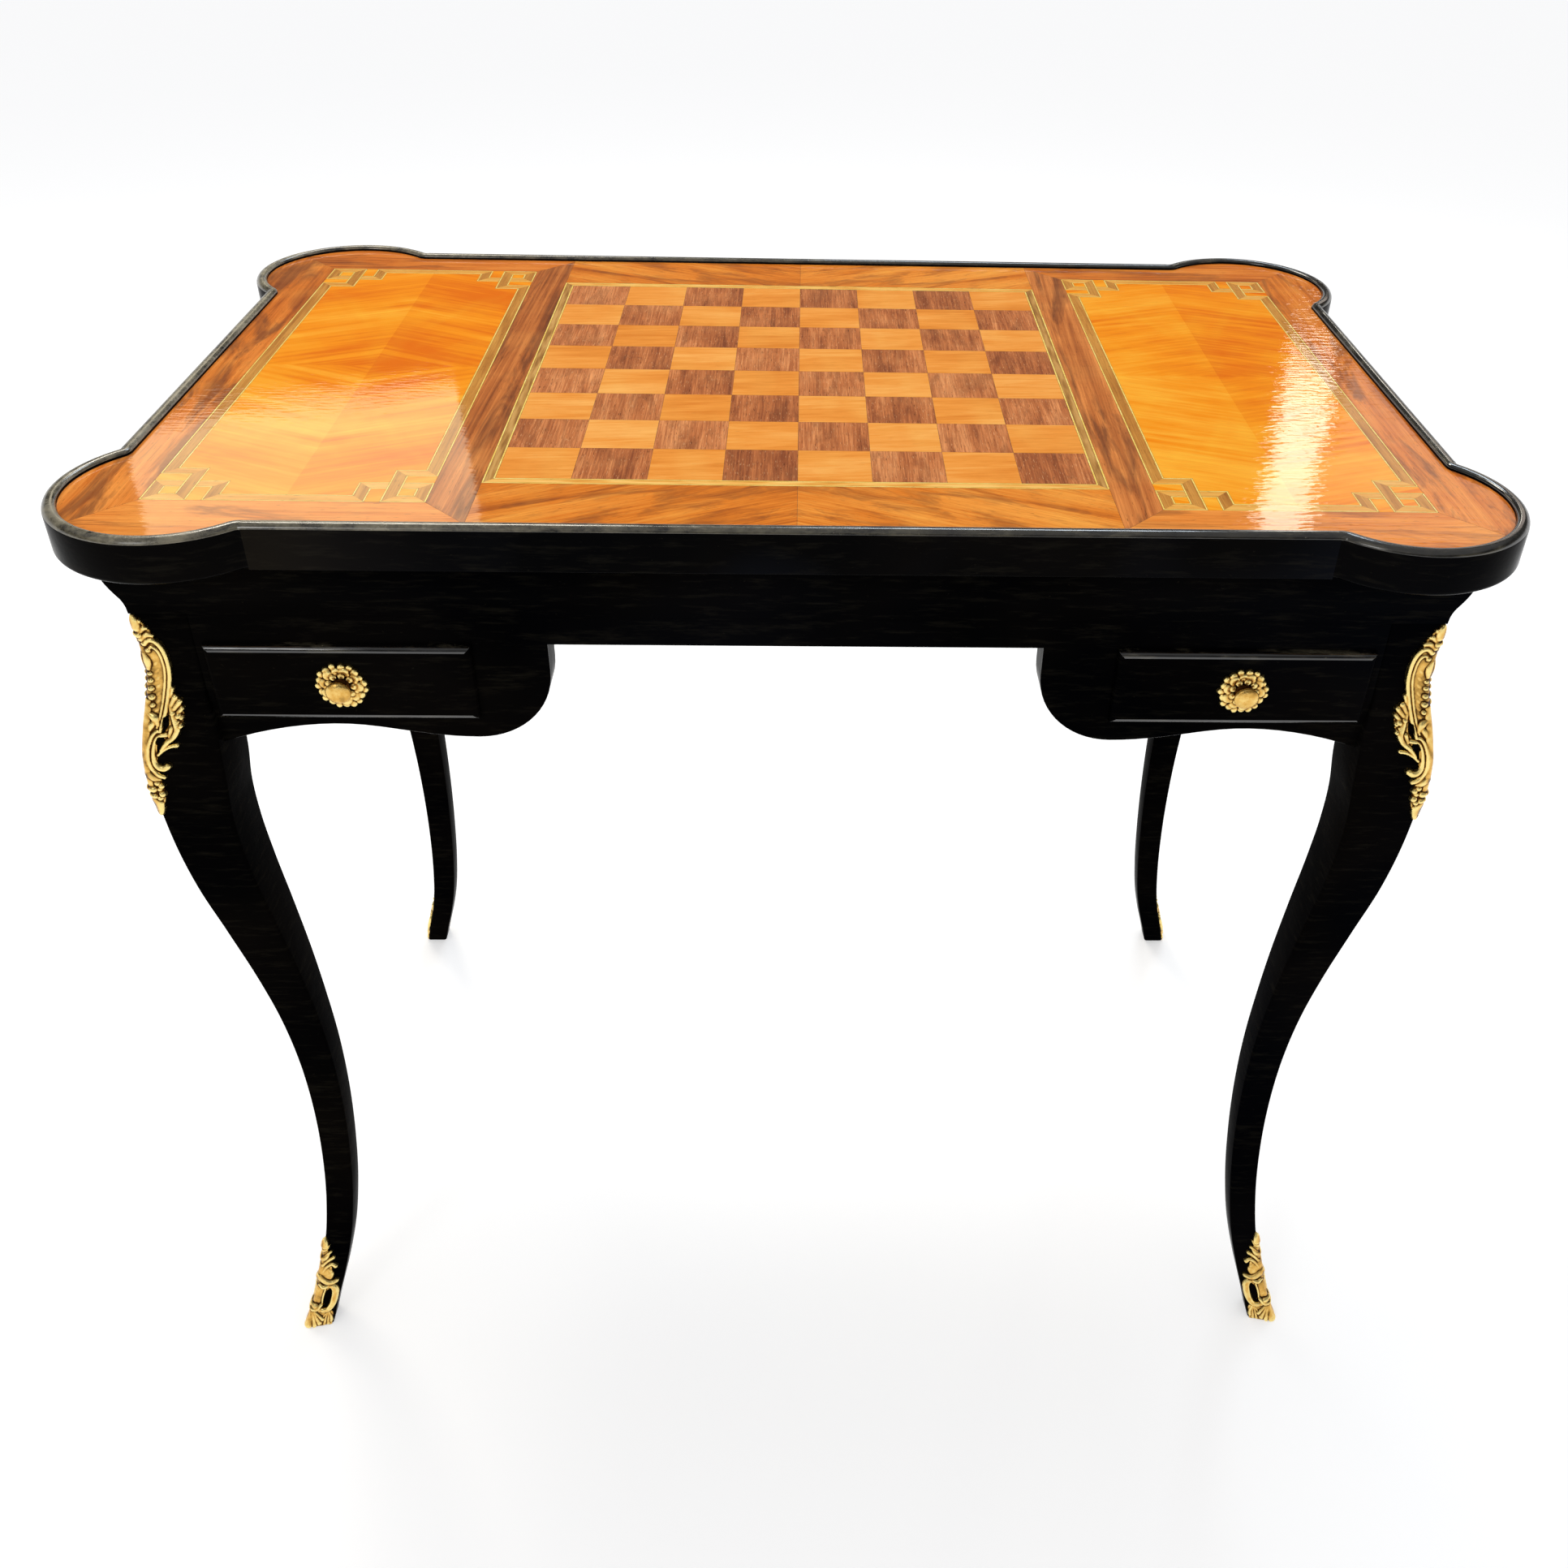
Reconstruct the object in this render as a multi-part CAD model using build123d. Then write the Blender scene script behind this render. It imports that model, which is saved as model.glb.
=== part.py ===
from build123d import *
import math
import os

# Games table with a lift-off marquetry top, a backgammon well under it and two drawers.
# Millimetres, +Z up. The origin is on the floor under the middle of the table; the front faces -Y.

# Top: straight edges with a round ear at each corner and a raised rim
overall_height = 745.0
top_length = 824.0
top_depth = 503.0
ear_radius = 72.0
ear_inset = 52.0
band_height = 28.5
band_thickness = 8.0
rim_stand = 3.5
rim_outer_chamfer = 3.0
rim_inner_chamfer = 2.0
notch_round = 3.0
ear_joint_inset = 104.0
veneer_thickness = 1.5

# Marquetry: chess squares, framed board, two framed panels with fret corners
square_size = 45.0
squares_across = 8
board_line = 1.1
board_band_width = 4.8
divider_width = 27.0
side_border_width = 27.0
end_border_width = 29.5
fret_strip = 8.8
fret_line = 1.0
fret_rows = 5

# Case: frieze moulding, corner posts and aprons
fascia_setback = 13.0
moulding_depth = 8.0
fascia_height = 22.0
ogee_height = 18.0
ogee_step = 1.5
ogee_radius = 9.0
apron_thickness = 20.0
post_size = 32.0
tenon_length = 14.0
tenon_thickness = 8.0
tenon_shoulder = 10.0

# Apron outlines: distances below the top edge of the case
centre_rail_drop = 60.0
lobe_drop = 127.5
scallop_drop = 118.5
scallop_slope_share = 0.38
leg_joint_drop = 133.0
lobe_radius = 48.5
lobe_overlap = 3.0
side_crown_drop = 114.5
side_bow_drop = 120.0
side_crown_share = 0.487
side_slope_share = 0.5

# Cabriole legs: how far they sway past the post's outer faces
leg_sway = 16.0
arris_chamfer = 1.6
edge_chamfer = 2.4
inner_chamfer = 4.5

# Well under the top
well_depth = 48.0
well_floor_thickness = 8.0
floor_groove_depth = 5.0
well_divider_width = 20.0
well_divider_height = 32.0
divider_round = 3.0
point_inlay_depth = 1.0
point_row_gap = 78.0
point_gap = 4.0
points_per_row = 6
cleat_thickness = 10.0
cleat_width = 14.0
cleat_clearance = 1.5
cleat_long_length = 300.0
cleat_short_length = 160.0

# Drawers
drawer_front_width = 159.0
drawer_front_height = 52.0
drawer_front_proud = 6.0
drawer_lip = 5.5
drawer_edge_round = 4.5
drawer_front_core = 12.0
drawer_post_gap = 5.0
drawer_top_drop = 59.5
drawer_back_space = 114.0
drawer_side_clearance = 0.5
drawer_height_clearance = 0.5
drawer_side_thickness = 8.0
drawer_bottom_thickness = 5.0
drawer_bottom_rise = 4.0
drawer_groove = 4.0
drawer_back_drop = 5.0
tail_length = 8.0
tail_root = 9.0
tail_flare = 1.6
tails_per_corner = 2

# Framing that carries the drawers
runner_ledge_width = 14.0
runner_ledge_height = 8.0
guide_thickness = 7.0
guide_height = 24.0
cheek_thickness = 10.0
cheek_foot_clearance = 11.0
kicker_width = 14.0
kicker_thickness = 8.0
block_long_side = 18.0
block_foot_clearance = 24.0

# Gilt mounts
mount_gap = 0.3
lobe_bulge_share = 0.22
knee_mount_length = 141.0
knee_mount_reach = 22.0
knee_mount_thickness = 4.2
knee_mount_top_gap = 0.3
knee_mount_hole_radius = 1.6
sabot_height = 86.0
sabot_reach = 18.5
sabot_thickness = 4.4
sabot_hole_radius = 2.4
rosette_radius = 16.5
rosette_lobes = 12
rosette_thickness = 3.2
knob_radius = 7.7
knob_thickness = 4.4
knob_neck_radius = 3.8
knob_stand = 9.0
knob_shank_radius = 2.4
shank_clearance = 0.08
nut_radius = 5.0
nut_thickness = 3.0

# Places worked out from the sizes above
half_length = top_length / 2
half_depth = top_depth / 2
surface_height = overall_height - rim_stand
case_top = overall_height - band_height
case_half_x = half_length - fascia_setback - moulding_depth
case_half_y = half_depth - fascia_setback - moulding_depth
post_inner_x = case_half_x - post_size
post_inner_y = case_half_y - post_size
apron_inner_x = case_half_x - apron_thickness
apron_inner_y = case_half_y - apron_thickness
moulding_height = fascia_height + ogee_height
panel_half_y = half_depth - band_thickness - end_border_width
panel_outer_x = half_length - band_thickness - side_border_width
well_floor_top = case_top - well_depth
well_floor_bottom = well_floor_top - well_floor_thickness
drawer_centre_x = post_inner_x - drawer_post_gap - drawer_front_width / 2
lobe_x = drawer_centre_x - drawer_front_width / 2 + lobe_overlap
kneehole_half_width = lobe_x - lobe_radius
opening_width = drawer_front_width - drawer_lip - drawer_lip
opening_height = drawer_front_height - drawer_lip - drawer_lip
drawer_front_top = case_top - drawer_top_drop
opening_top = drawer_front_top - drawer_lip
opening_bottom = opening_top - opening_height
leg_joint_height = case_top - leg_joint_drop
overrun = 5.0

# Stations down a leg: share of the leg's height, share of the sway past the post, share of the post's width
leg_station_shares = [
    (0.895, 0.00, 1.000),
    (0.865, 0.18, 1.040),
    (0.837, 0.46, 1.180),
    (0.809, 0.69, 1.290),
    (0.780, 0.81, 1.330),
    (0.748, 0.79, 1.290),
    (0.706, 0.69, 1.250),
    (0.659, 0.48, 1.190),
    (0.592, 0.01, 1.050),
    (0.516, -0.51, 0.930),
    (0.462, -0.81, 0.840),
    (0.398, -1.03, 0.755),
    (0.322, -1.10, 0.700),
    (0.248, -1.00, 0.675),
    (0.173, -0.72, 0.665),
    (0.119, -0.38, 0.645),
    (0.067, 0.14, 0.610),
    (0.028, 0.66, 0.600),
    (0.000, 0.94, 0.590),
]

# Free edge of a knee mount, top to bottom: share of its length, share of its reach over the face
knee_mount_edge_shares = [
    (0.00, 0.02), (0.04, 0.15), (0.10, 0.32), (0.18, 0.64), (0.33, 0.61), (0.40, 0.90), (0.48, 0.93),
    (0.54, 1.00), (0.60, 0.78), (0.63, 0.86), (0.66, 0.40), (0.73, 0.63), (0.77, 0.33), (0.80, 0.45),
    (0.84, 0.26), (0.88, 0.32), (0.91, 0.12), (0.96, 0.18), (1.00, 0.02),
]
knee_mount_hole_shares = [(0.52, 0.54, 0.030), (0.605, 0.38, 0.010)]

# Free edge of a sabot, top to bottom: share of its height, share of its reach over the face
sabot_edge_shares = [
    (0.00, 0.03), (0.15, 0.31), (0.19, 0.26), (0.25, 0.50), (0.32, 0.64), (0.36, 0.42), (0.43, 0.55),
    (0.50, 0.86), (0.62, 0.98), (0.75, 1.00), (0.88, 0.95), (1.00, 0.92),
]
sabot_hole_shares = [(0.69, 0.52, 0.055)]

# One lobe of a rosette: share of the lobe's angle, share of the rosette's radius
rosette_lobe_shares = [(-0.5, 0.88), (-0.3, 0.97), (0.0, 1.0), (0.3, 0.97)]

# How thick the mounts are, top to bottom: share of the length, share of the full thickness
knee_mount_body_shares = [(0.0, 0.6), (0.2, 0.9), (0.4, 1.0), (0.6, 1.0), (0.8, 0.9), (1.0, 0.5)]
sabot_body_shares = [(0.0, 0.5), (0.25, 0.6), (0.5, 0.65), (0.75, 0.7), (0.9, 1.0), (1.0, 1.0)]


def block(x_low, x_high, y_low, y_high, z_low, z_high):
    """Box between six planes."""
    box = Box(x_high - x_low, y_high - y_low, z_high - z_low, align=(Align.MIN, Align.MIN, Align.MIN))
    return Pos(x_low, y_low, z_low) * box


def plate(points, z_low, z_high):
    """Flat piece cut to a plan outline."""
    return Pos(0, 0, z_low) * extrude(Polygon(*points, align=None), z_high - z_low, dir=(0, 0, 1))


def rectangle_points(x_low, x_high, y_low, y_high):
    return [(x_low, y_low), (x_high, y_low), (x_high, y_high), (x_low, y_high)]


def mirrored(shape, across_x, across_y):
    """Copy of a front left piece for another corner."""
    turned = shape
    if across_x:
        turned = mirror(turned, about=Plane.YZ)
    if across_y:
        turned = mirror(turned, about=Plane.XZ)
    return turned


def solids_of(shapes):
    """One group of separate solids."""
    found = []
    for shape in shapes:
        found.extend(shape.solids())
    return Compound(children=found)


corners = {
    "front_left": (False, False),
    "front_right": (True, False),
    "back_left": (False, True),
    "back_right": (True, True),
}
parts = {}


# The eared top

def eared_plan(inset):
    """Plan of the top: straight edges that run through a small hollow into a round ear at each corner."""
    ear = ear_radius - inset
    hollow = notch_round + inset
    centre_x = half_length - ear_inset
    centre_y = half_depth - ear_inset
    reach = ear + hollow
    hollows = (
        (half_length - inset + hollow, centre_y - math.sqrt(reach**2 - (ear_inset - inset + hollow) ** 2)),
        (centre_x - math.sqrt(reach**2 - (ear_inset - inset + hollow) ** 2), half_depth - inset + hollow),
    )
    side_start = (half_length - inset, hollows[0][1])
    end_start = (hollows[1][0], half_depth - inset)
    edges = []
    for x_side, y_side in ((1, 1), (-1, 1), (-1, -1), (1, -1)):
        joints = []
        for (x, y), start in zip(hollows, (side_start, end_start)):
            joint = (centre_x + (x - centre_x) * ear / reach, centre_y + (y - centre_y) * ear / reach)
            lean_x = (start[0] + joint[0]) / 2 - x
            lean_y = (start[1] + joint[1]) / 2 - y
            lean = hollow / math.hypot(lean_x, lean_y)
            middle = (x + lean_x * lean, y + lean_y * lean)
            arc = [(x_side * px, y_side * py) for px, py in (start, middle, joint)]
            edges.append(ThreePointArc(*arc))
            joints.append(arc[2])
        diagonal = ear * math.sqrt(0.5)
        tip = (x_side * (centre_x + diagonal), y_side * (centre_y + diagonal))
        edges.append(ThreePointArc(joints[0], tip, joints[1]))
    for side in (1, -1):
        edges.append(Line((side * side_start[0], -side_start[1]), (side * side_start[0], side_start[1])))
        edges.append(Line((-end_start[0], side * end_start[1]), (end_start[0], side * end_start[1])))
    return make_face(edges)


def rim_band():
    """Continuous edge band with its raised rim, before it is cut into rails and ears."""
    outer = Pos(0, 0, case_top) * extrude(eared_plan(0), band_height)
    outer = chamfer(outer.faces().sort_by(Axis.Z)[-1].outer_wire().edges(), rim_outer_chamfer)
    inner = Pos(0, 0, case_top - overrun) * extrude(eared_plan(band_thickness), band_height + overrun + overrun)
    band = outer - inner
    rim_edges = band.faces().sort_by(Axis.Z)[-1].inner_wires()[0].edges()
    return chamfer(rim_edges, rim_inner_chamfer)


def cut_band(band):
    """Four straight rails and four ears, butted where the ears begin."""
    reach_x = half_length - ear_joint_inset
    reach_y = half_depth - ear_joint_inset
    far_x = half_length + ear_radius
    far_y = half_depth + ear_radius
    low = case_top - overrun
    high = overall_height + overrun
    long_zone = block(-reach_x, reach_x, -far_y, far_y, low, high)
    short_zone = block(-far_x, far_x, -reach_y, reach_y, low, high)
    parts["top_rails_long"] = solids_of([band & long_zone])
    parts["top_rails_short"] = solids_of([band & short_zone])
    parts["top_ears"] = solids_of([band - long_zone - short_zone])


cut_band(rim_band())
core_top = surface_height - veneer_thickness
field_plan = eared_plan(band_thickness)
parts["top_core"] = Pos(0, 0, case_top) * extrude(field_plan, core_top - case_top)
field = Pos(0, 0, core_top) * extrude(field_plan, veneer_thickness)


def veneer(points):
    """Veneer cut to an outline and trimmed to the field inside the rim."""
    return plate(points, core_top, surface_height) & field


# Chessboard and its frame

board_half = square_size * squares_across / 2
frame_width = board_line + board_band_width + board_line
frame_half = board_half + frame_width


def chess_squares(parity):
    """Squares of one colour; the far left one is dark."""
    squares = []
    for column in range(squares_across):
        for row in range(squares_across):
            if (column + row) % 2 == parity:
                x_low = column * square_size - board_half
                y_high = board_half - row * square_size
                outline = rectangle_points(x_low, x_low + square_size, y_high - square_size, y_high)
                squares.append(plate(outline, core_top, surface_height))
    return solids_of(squares)


def square_frame(inner_half, width):
    """Frame of four mitred strips round the board."""
    outer_half = inner_half + width
    side = plate(
        [(-inner_half, -inner_half), (-outer_half, -outer_half), (outer_half, -outer_half), (inner_half, -inner_half)],
        core_top, surface_height,
    )
    return solids_of([Rot(0, 0, quarter) * side for quarter in (0, 90, 180, 270)])


parts["dark_squares"] = chess_squares(0)
parts["light_squares"] = chess_squares(1)
inner_line = square_frame(board_half, board_line)
outer_line = square_frame(board_half + board_line + board_band_width, board_line)
parts["board_lines"] = solids_of([inner_line, outer_line])
parts["board_band"] = square_frame(board_half + board_line, board_band_width)


# Panels with interlaced fret corners

panel_inner_x = frame_half + divider_width
panel_width = panel_outer_x - panel_inner_x


def fret_paths():
    """Centre lines of the two strips at the corner (0, 0) of a panel quarter.

    The strip from the long side steps in, drops to the end, turns back round a small square and
    passes under itself; it comes out beyond its own drop and runs on along the end.
    """
    unit = fret_strip
    row = [unit * index + unit / 2 for index in range(fret_rows)]
    over = [
        (row[0], panel_half_y), (row[0], row[4]), (row[2], row[4]), (row[2], row[0]), (row[0], row[0]),
        (row[0], row[2]), (row[2] - unit / 2, row[2]),
    ]
    under = [(row[2] + unit / 2, row[2]), (row[4], row[2]), (row[4], row[0]), (panel_width / 2, row[0])]
    return [over, under]


def strip_runs(path, half):
    """Straight runs along a right-angled path, each with mitred ends."""
    runs = []
    for index in range(len(path) - 1):
        start = path[index]
        end = path[index + 1]
        along_x = start[1] == end[1]
        low_axis = min(start[0], end[0]) if along_x else min(start[1], end[1])
        high_axis = max(start[0], end[0]) if along_x else max(start[1], end[1])
        across = start[1] if along_x else start[0]
        ends = {}
        for corner, neighbour in ((start, index - 1), (end, index + 2)):
            axis_value = corner[0] if along_x else corner[1]
            if 0 <= neighbour < len(path):
                other = path[neighbour]
                turn = other[1] - corner[1] if along_x else other[0] - corner[0]
                ends[axis_value] = 1 if turn > 0 else -1
            else:
                ends[axis_value] = 0
        low_turn = ends[low_axis] * half
        high_turn = ends[high_axis] * half
        profile = [
            (low_axis - low_turn, across - half), (high_axis + high_turn, across - half),
            (high_axis - high_turn, across + half), (low_axis + low_turn, across + half),
        ]
        if not along_x:
            profile = [(point[1], point[0]) for point in profile]
        runs.append((along_x, profile))
    return runs


def panel_quarter():
    """Ground, lines and the two directions of band in the front left quarter of the left panel."""
    low = core_top
    high = surface_height
    ground = plate(rectangle_points(0, panel_width / 2, 0, panel_half_y), low, high)
    lines = []
    bands = {True: [], False: []}
    for path in fret_paths():
        runs = strip_runs(path, fret_strip / 2)
        cores = strip_runs(path, fret_strip / 2 - fret_line)
        for (along_x, run_outline), (along_x, core_outline) in zip(runs, cores):
            run = plate(run_outline, low, high)
            core = plate(core_outline, low, high)
            ground = ground - run
            lines.append(run - core)
            bands[along_x].append(core)
    corner = Pos(-panel_outer_x, -panel_half_y, 0)
    return [corner * solids_of(group) for group in ([ground], lines, bands[True], bands[False])]


def four_quarters(shape):
    """The quarter mirrored within the left panel."""
    middle = -(panel_outer_x + panel_inner_x) / 2
    across = mirror(shape, about=Plane.YZ.offset(middle))
    both = shape.solids() + across.solids()
    back = [mirror(solid, about=Plane.XZ) for solid in both]
    return both + back


ground, lines, bands_x, bands_y = panel_quarter()
for side, flip in (("left", False), ("right", True)):
    parts["panel_veneer_" + side] = solids_of([mirrored(piece, flip, False) for piece in four_quarters(ground)])
for name, quarter in (("panel_lines", lines), ("fret_bands_cross", bands_x), ("fret_bands_long", bands_y)):
    left_pieces = four_quarters(quarter)
    right_pieces = [mirrored(piece, True, False) for piece in left_pieces]
    parts[name] = solids_of(left_pieces + right_pieces)


# Rosewood borders, mitred at the panels' corners, and the crossbands of the board

border_reach = half_length + ear_radius
mitre_run = border_reach - panel_outer_x
divider_reach = half_depth - panel_half_y
side_border = veneer([
    (-panel_outer_x, -panel_half_y), (-panel_outer_x, panel_half_y),
    (-border_reach, panel_half_y + mitre_run), (-border_reach, -panel_half_y - mitre_run),
])
end_border = veneer([
    (-panel_outer_x, -panel_half_y), (-panel_outer_x - mitre_run, -panel_half_y - mitre_run),
    (-panel_inner_x + mitre_run, -panel_half_y - mitre_run), (-panel_inner_x, -panel_half_y),
]) & block(-border_reach, -frame_half, -border_reach, 0, core_top, surface_height)
divider = veneer([
    (-panel_inner_x, -panel_half_y), (-panel_inner_x + divider_reach, -half_depth),
    (-panel_inner_x + divider_reach, half_depth), (-panel_inner_x, panel_half_y),
]) & block(-border_reach, -frame_half, -half_depth, half_depth, core_top, surface_height)
crossband = veneer(rectangle_points(-frame_half, 0, -half_depth, -frame_half))
parts["side_borders"] = solids_of([side_border, mirrored(side_border, True, False)])
parts["end_borders"] = solids_of([mirrored(end_border, *flips) for flips in corners.values()])
parts["divider_bands"] = solids_of([divider, mirrored(divider, True, False)])
parts["crossbands"] = solids_of([mirrored(crossband, *flips) for flips in corners.values()])

# Cleats under the top drop just inside the well's lining and keep the top in place
cleat_y = post_inner_y - cleat_clearance
cleat_x = post_inner_x - cleat_clearance
cleat_low = case_top - cleat_thickness
long_cleat = block(-cleat_long_length / 2, cleat_long_length / 2, -cleat_y, cleat_width - cleat_y, cleat_low, case_top)
short_cleat = block(-cleat_x, cleat_width - cleat_x, -cleat_short_length / 2, cleat_short_length / 2,
                    cleat_low, case_top)
parts["locating_cleats"] = solids_of([
    long_cleat, mirrored(long_cleat, False, True), short_cleat, mirrored(short_cleat, True, False),
])


# Cabriole legs: posts above, swept knees and feet below

def station_slope(index):
    """Slope of the sway at a station, from the stations either side of it."""
    above = leg_station_shares[max(index - 1, 0)]
    below = leg_station_shares[min(index + 1, len(leg_station_shares) - 1)]
    return (above[1] - below[1]) / (above[0] - below[0])


def leg_outer(height):
    """How far the leg's outer faces stand past the post's, on a smooth curve through the stations."""
    share = height / case_top
    if share >= leg_station_shares[0][0]:
        return leg_station_shares[0][1] * leg_sway
    for index in range(1, len(leg_station_shares)):
        above = leg_station_shares[index - 1]
        below = leg_station_shares[index]
        if share >= below[0]:
            run = above[0] - below[0]
            mix = (share - below[0]) / run
            bulge_low = (station_slope(index) * run - (above[1] - below[1])) * mix * (1 - mix) ** 2
            bulge_high = (station_slope(index - 1) * run - (above[1] - below[1])) * mix**2 * (mix - 1)
            return (below[1] + mix * (above[1] - below[1]) + bulge_low + bulge_high) * leg_sway
    return leg_station_shares[-1][1] * leg_sway


def leg_section(height, sway, width):
    """Square section with its corners taken off, on the front left corner."""
    x_out = -case_half_x - sway
    y_out = -case_half_y - sway
    x_in = x_out + width
    y_in = y_out + width
    points = [
        (x_out, y_out + arris_chamfer), (x_out + arris_chamfer, y_out),
        (x_in - edge_chamfer, y_out), (x_in, y_out + edge_chamfer),
        (x_in, y_in - inner_chamfer), (x_in - inner_chamfer, y_in),
        (x_out + edge_chamfer, y_in), (x_out, y_in - edge_chamfer),
    ]
    return Pos(0, 0, height) * make_face(Polyline(*points, close=True))


def tenon_height():
    return case_top - tenon_shoulder - leg_joint_height - tenon_shoulder


def tenon_x(x_low, y_middle):
    """Tenon that runs along X from an apron's end."""
    half = tenon_thickness / 2
    low = leg_joint_height + tenon_shoulder
    return block(x_low, x_low + tenon_length, y_middle - half, y_middle + half, low, low + tenon_height())


def tenon_y(y_low, x_middle):
    """Tenon that runs along Y from an apron's end."""
    half = tenon_thickness / 2
    low = leg_joint_height + tenon_shoulder
    return block(x_middle - half, x_middle + half, y_low, y_low + tenon_length, low, low + tenon_height())


def cabriole_leg():
    post_bottom = leg_station_shares[0][0] * case_top
    sections = [leg_section(h * case_top, s * leg_sway, w * post_size) for h, s, w in leg_station_shares]
    leg = loft(sections)
    post = Pos(0, 0, post_bottom) * extrude(
        Pos(0, 0, -post_bottom) * leg_section(post_bottom, 0, post_size), case_top - post_bottom
    )
    leg = leg + post
    apron_middle_y = -(case_half_y + apron_inner_y) / 2
    apron_middle_x = -(case_half_x + apron_inner_x) / 2
    leg = leg - tenon_x(-post_inner_x - tenon_length, apron_middle_y)
    return leg - tenon_y(-post_inner_y - tenon_length, apron_middle_x)


leg = cabriole_leg()
for corner, flips in corners.items():
    parts["leg_" + corner] = mirrored(leg, *flips)


# Aprons

def upright(edges, thickness, along_y):
    """Board with an outline drawn in its own plane (across, height), standing on edge."""
    face = make_face(edges)
    board = extrude(face, thickness, dir=(0, 0, 1))
    board = Rot(90, 0, 0) * board
    if along_y:
        board = Rot(0, 0, 90) * board
    return board


def kneehole_half():
    """Right half of the long apron: centre rail, round lobe, scallop under the drawer."""
    top = case_top
    centre_bottom = top - centre_rail_drop
    lobe_bottom = top - lobe_drop
    lobe_top = lobe_bottom + lobe_radius
    scallop = (drawer_centre_x, top - scallop_drop)
    edges = [
        Line((0, centre_bottom), (0, top)),
        Line((0, top), (post_inner_x, top)),
        Line((post_inner_x, top), (post_inner_x, leg_joint_height)),
        Spline(
            (post_inner_x, leg_joint_height), scallop, (lobe_x, lobe_bottom),
            tangents=[(-1, scallop_slope_share), (-1, 0)],
        ),
        RadiusArc((lobe_x, lobe_bottom), (kneehole_half_width, lobe_top), lobe_radius),
        Line((kneehole_half_width, lobe_top), (kneehole_half_width, centre_bottom)),
        Line((kneehole_half_width, centre_bottom), (0, centre_bottom)),
    ]
    return upright(edges, apron_thickness, False)


def long_apron():
    half = Pos(0, -apron_inner_y, 0) * kneehole_half()
    apron = half + mirror(half, about=Plane.YZ)
    middle = -(case_half_y + apron_inner_y) / 2
    apron = apron + tenon_x(post_inner_x, middle) + tenon_x(-post_inner_x - tenon_length, middle)
    groove = block(
        -post_inner_x - overrun, post_inner_x + overrun, -apron_inner_y - floor_groove_depth, overrun - apron_inner_y,
        well_floor_bottom, well_floor_top,
    ) & block(-post_inner_x, post_inner_x, -case_half_y, 0, well_floor_bottom, well_floor_top)
    return apron - groove


def drawer_opening():
    """Hole for the right drawer in the front apron."""
    low = drawer_centre_x - opening_width / 2
    return block(low, low + opening_width, -case_half_y - overrun, overrun - apron_inner_y,
                 opening_bottom, opening_top)


def short_apron():
    """Left apron, with a shallow bow in its lower edge."""
    crown = case_top - side_crown_drop
    bow = case_top - side_bow_drop
    reach = post_inner_y
    crown_reach = side_crown_share * reach
    edges = [
        Line((-reach, leg_joint_height), (-reach, case_top)),
        Line((-reach, case_top), (reach, case_top)),
        Line((reach, case_top), (reach, leg_joint_height)),
        Spline(
            (reach, leg_joint_height), (crown_reach, crown), (0, bow), (-crown_reach, crown),
            (-reach, leg_joint_height), tangents=[(-1, side_slope_share), (-1, -side_slope_share)],
        ),
    ]
    board = Pos(-case_half_x, 0, 0) * upright(edges, apron_thickness, True)
    middle = -(case_half_x + apron_inner_x) / 2
    board = board + tenon_y(post_inner_y, middle) + tenon_y(-post_inner_y - tenon_length, middle)
    groove = block(-apron_inner_x - floor_groove_depth, overrun - apron_inner_x, -post_inner_y, post_inner_y,
                   well_floor_bottom, well_floor_top)
    return board - groove


plain_apron = long_apron()
opening = drawer_opening()
parts["front_apron"] = plain_apron - opening - mirror(opening, about=Plane.YZ)
parts["back_apron"] = mirror(plain_apron, about=Plane.XZ)
left_apron = short_apron()
parts["left_apron"] = left_apron
parts["right_apron"] = mirror(left_apron, about=Plane.YZ)


# Frieze moulding: flat fascia over an ogee, four mitred lengths

def moulding_length(half_run, wall):
    """Moulding along X on the front, for a case of the given half run and wall distance."""
    bottom = case_top - moulding_height
    front = -wall - moulding_depth
    fascia_bottom = case_top - fascia_height
    middle = ((ogee_step + moulding_depth) / 2, (bottom + fascia_bottom) / 2)
    edges = [
        Line((0, bottom), (ogee_step, bottom)),
        RadiusArc((ogee_step, bottom), middle, ogee_radius),
        RadiusArc(middle, (moulding_depth, fascia_bottom), -ogee_radius),
        Line((moulding_depth, fascia_bottom), (moulding_depth, case_top)),
        Line((moulding_depth, case_top), (0, case_top)),
        Line((0, case_top), (0, bottom)),
    ]
    profile = Rot(0, 0, -90) * Rot(90, 0, 0) * make_face(edges)
    reach = half_run + moulding_depth
    bar = Pos(-reach, -wall, 0) * extrude(profile, reach + reach, dir=(1, 0, 0))
    mitre = plate([(-half_run, -wall), (-reach, front), (reach, front), (half_run, -wall)], bottom, case_top)
    return bar & mitre


front_moulding = moulding_length(case_half_x, case_half_y)
left_moulding = Rot(0, 0, -90) * moulding_length(case_half_y, case_half_x)
parts["frieze_moulding_front"] = front_moulding
parts["frieze_moulding_back"] = mirror(front_moulding, about=Plane.XZ)
parts["frieze_moulding_left"] = left_moulding
parts["frieze_moulding_right"] = mirror(left_moulding, about=Plane.YZ)


# Backgammon well: floor in grooves, lining boards, divider and inlaid points

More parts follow.
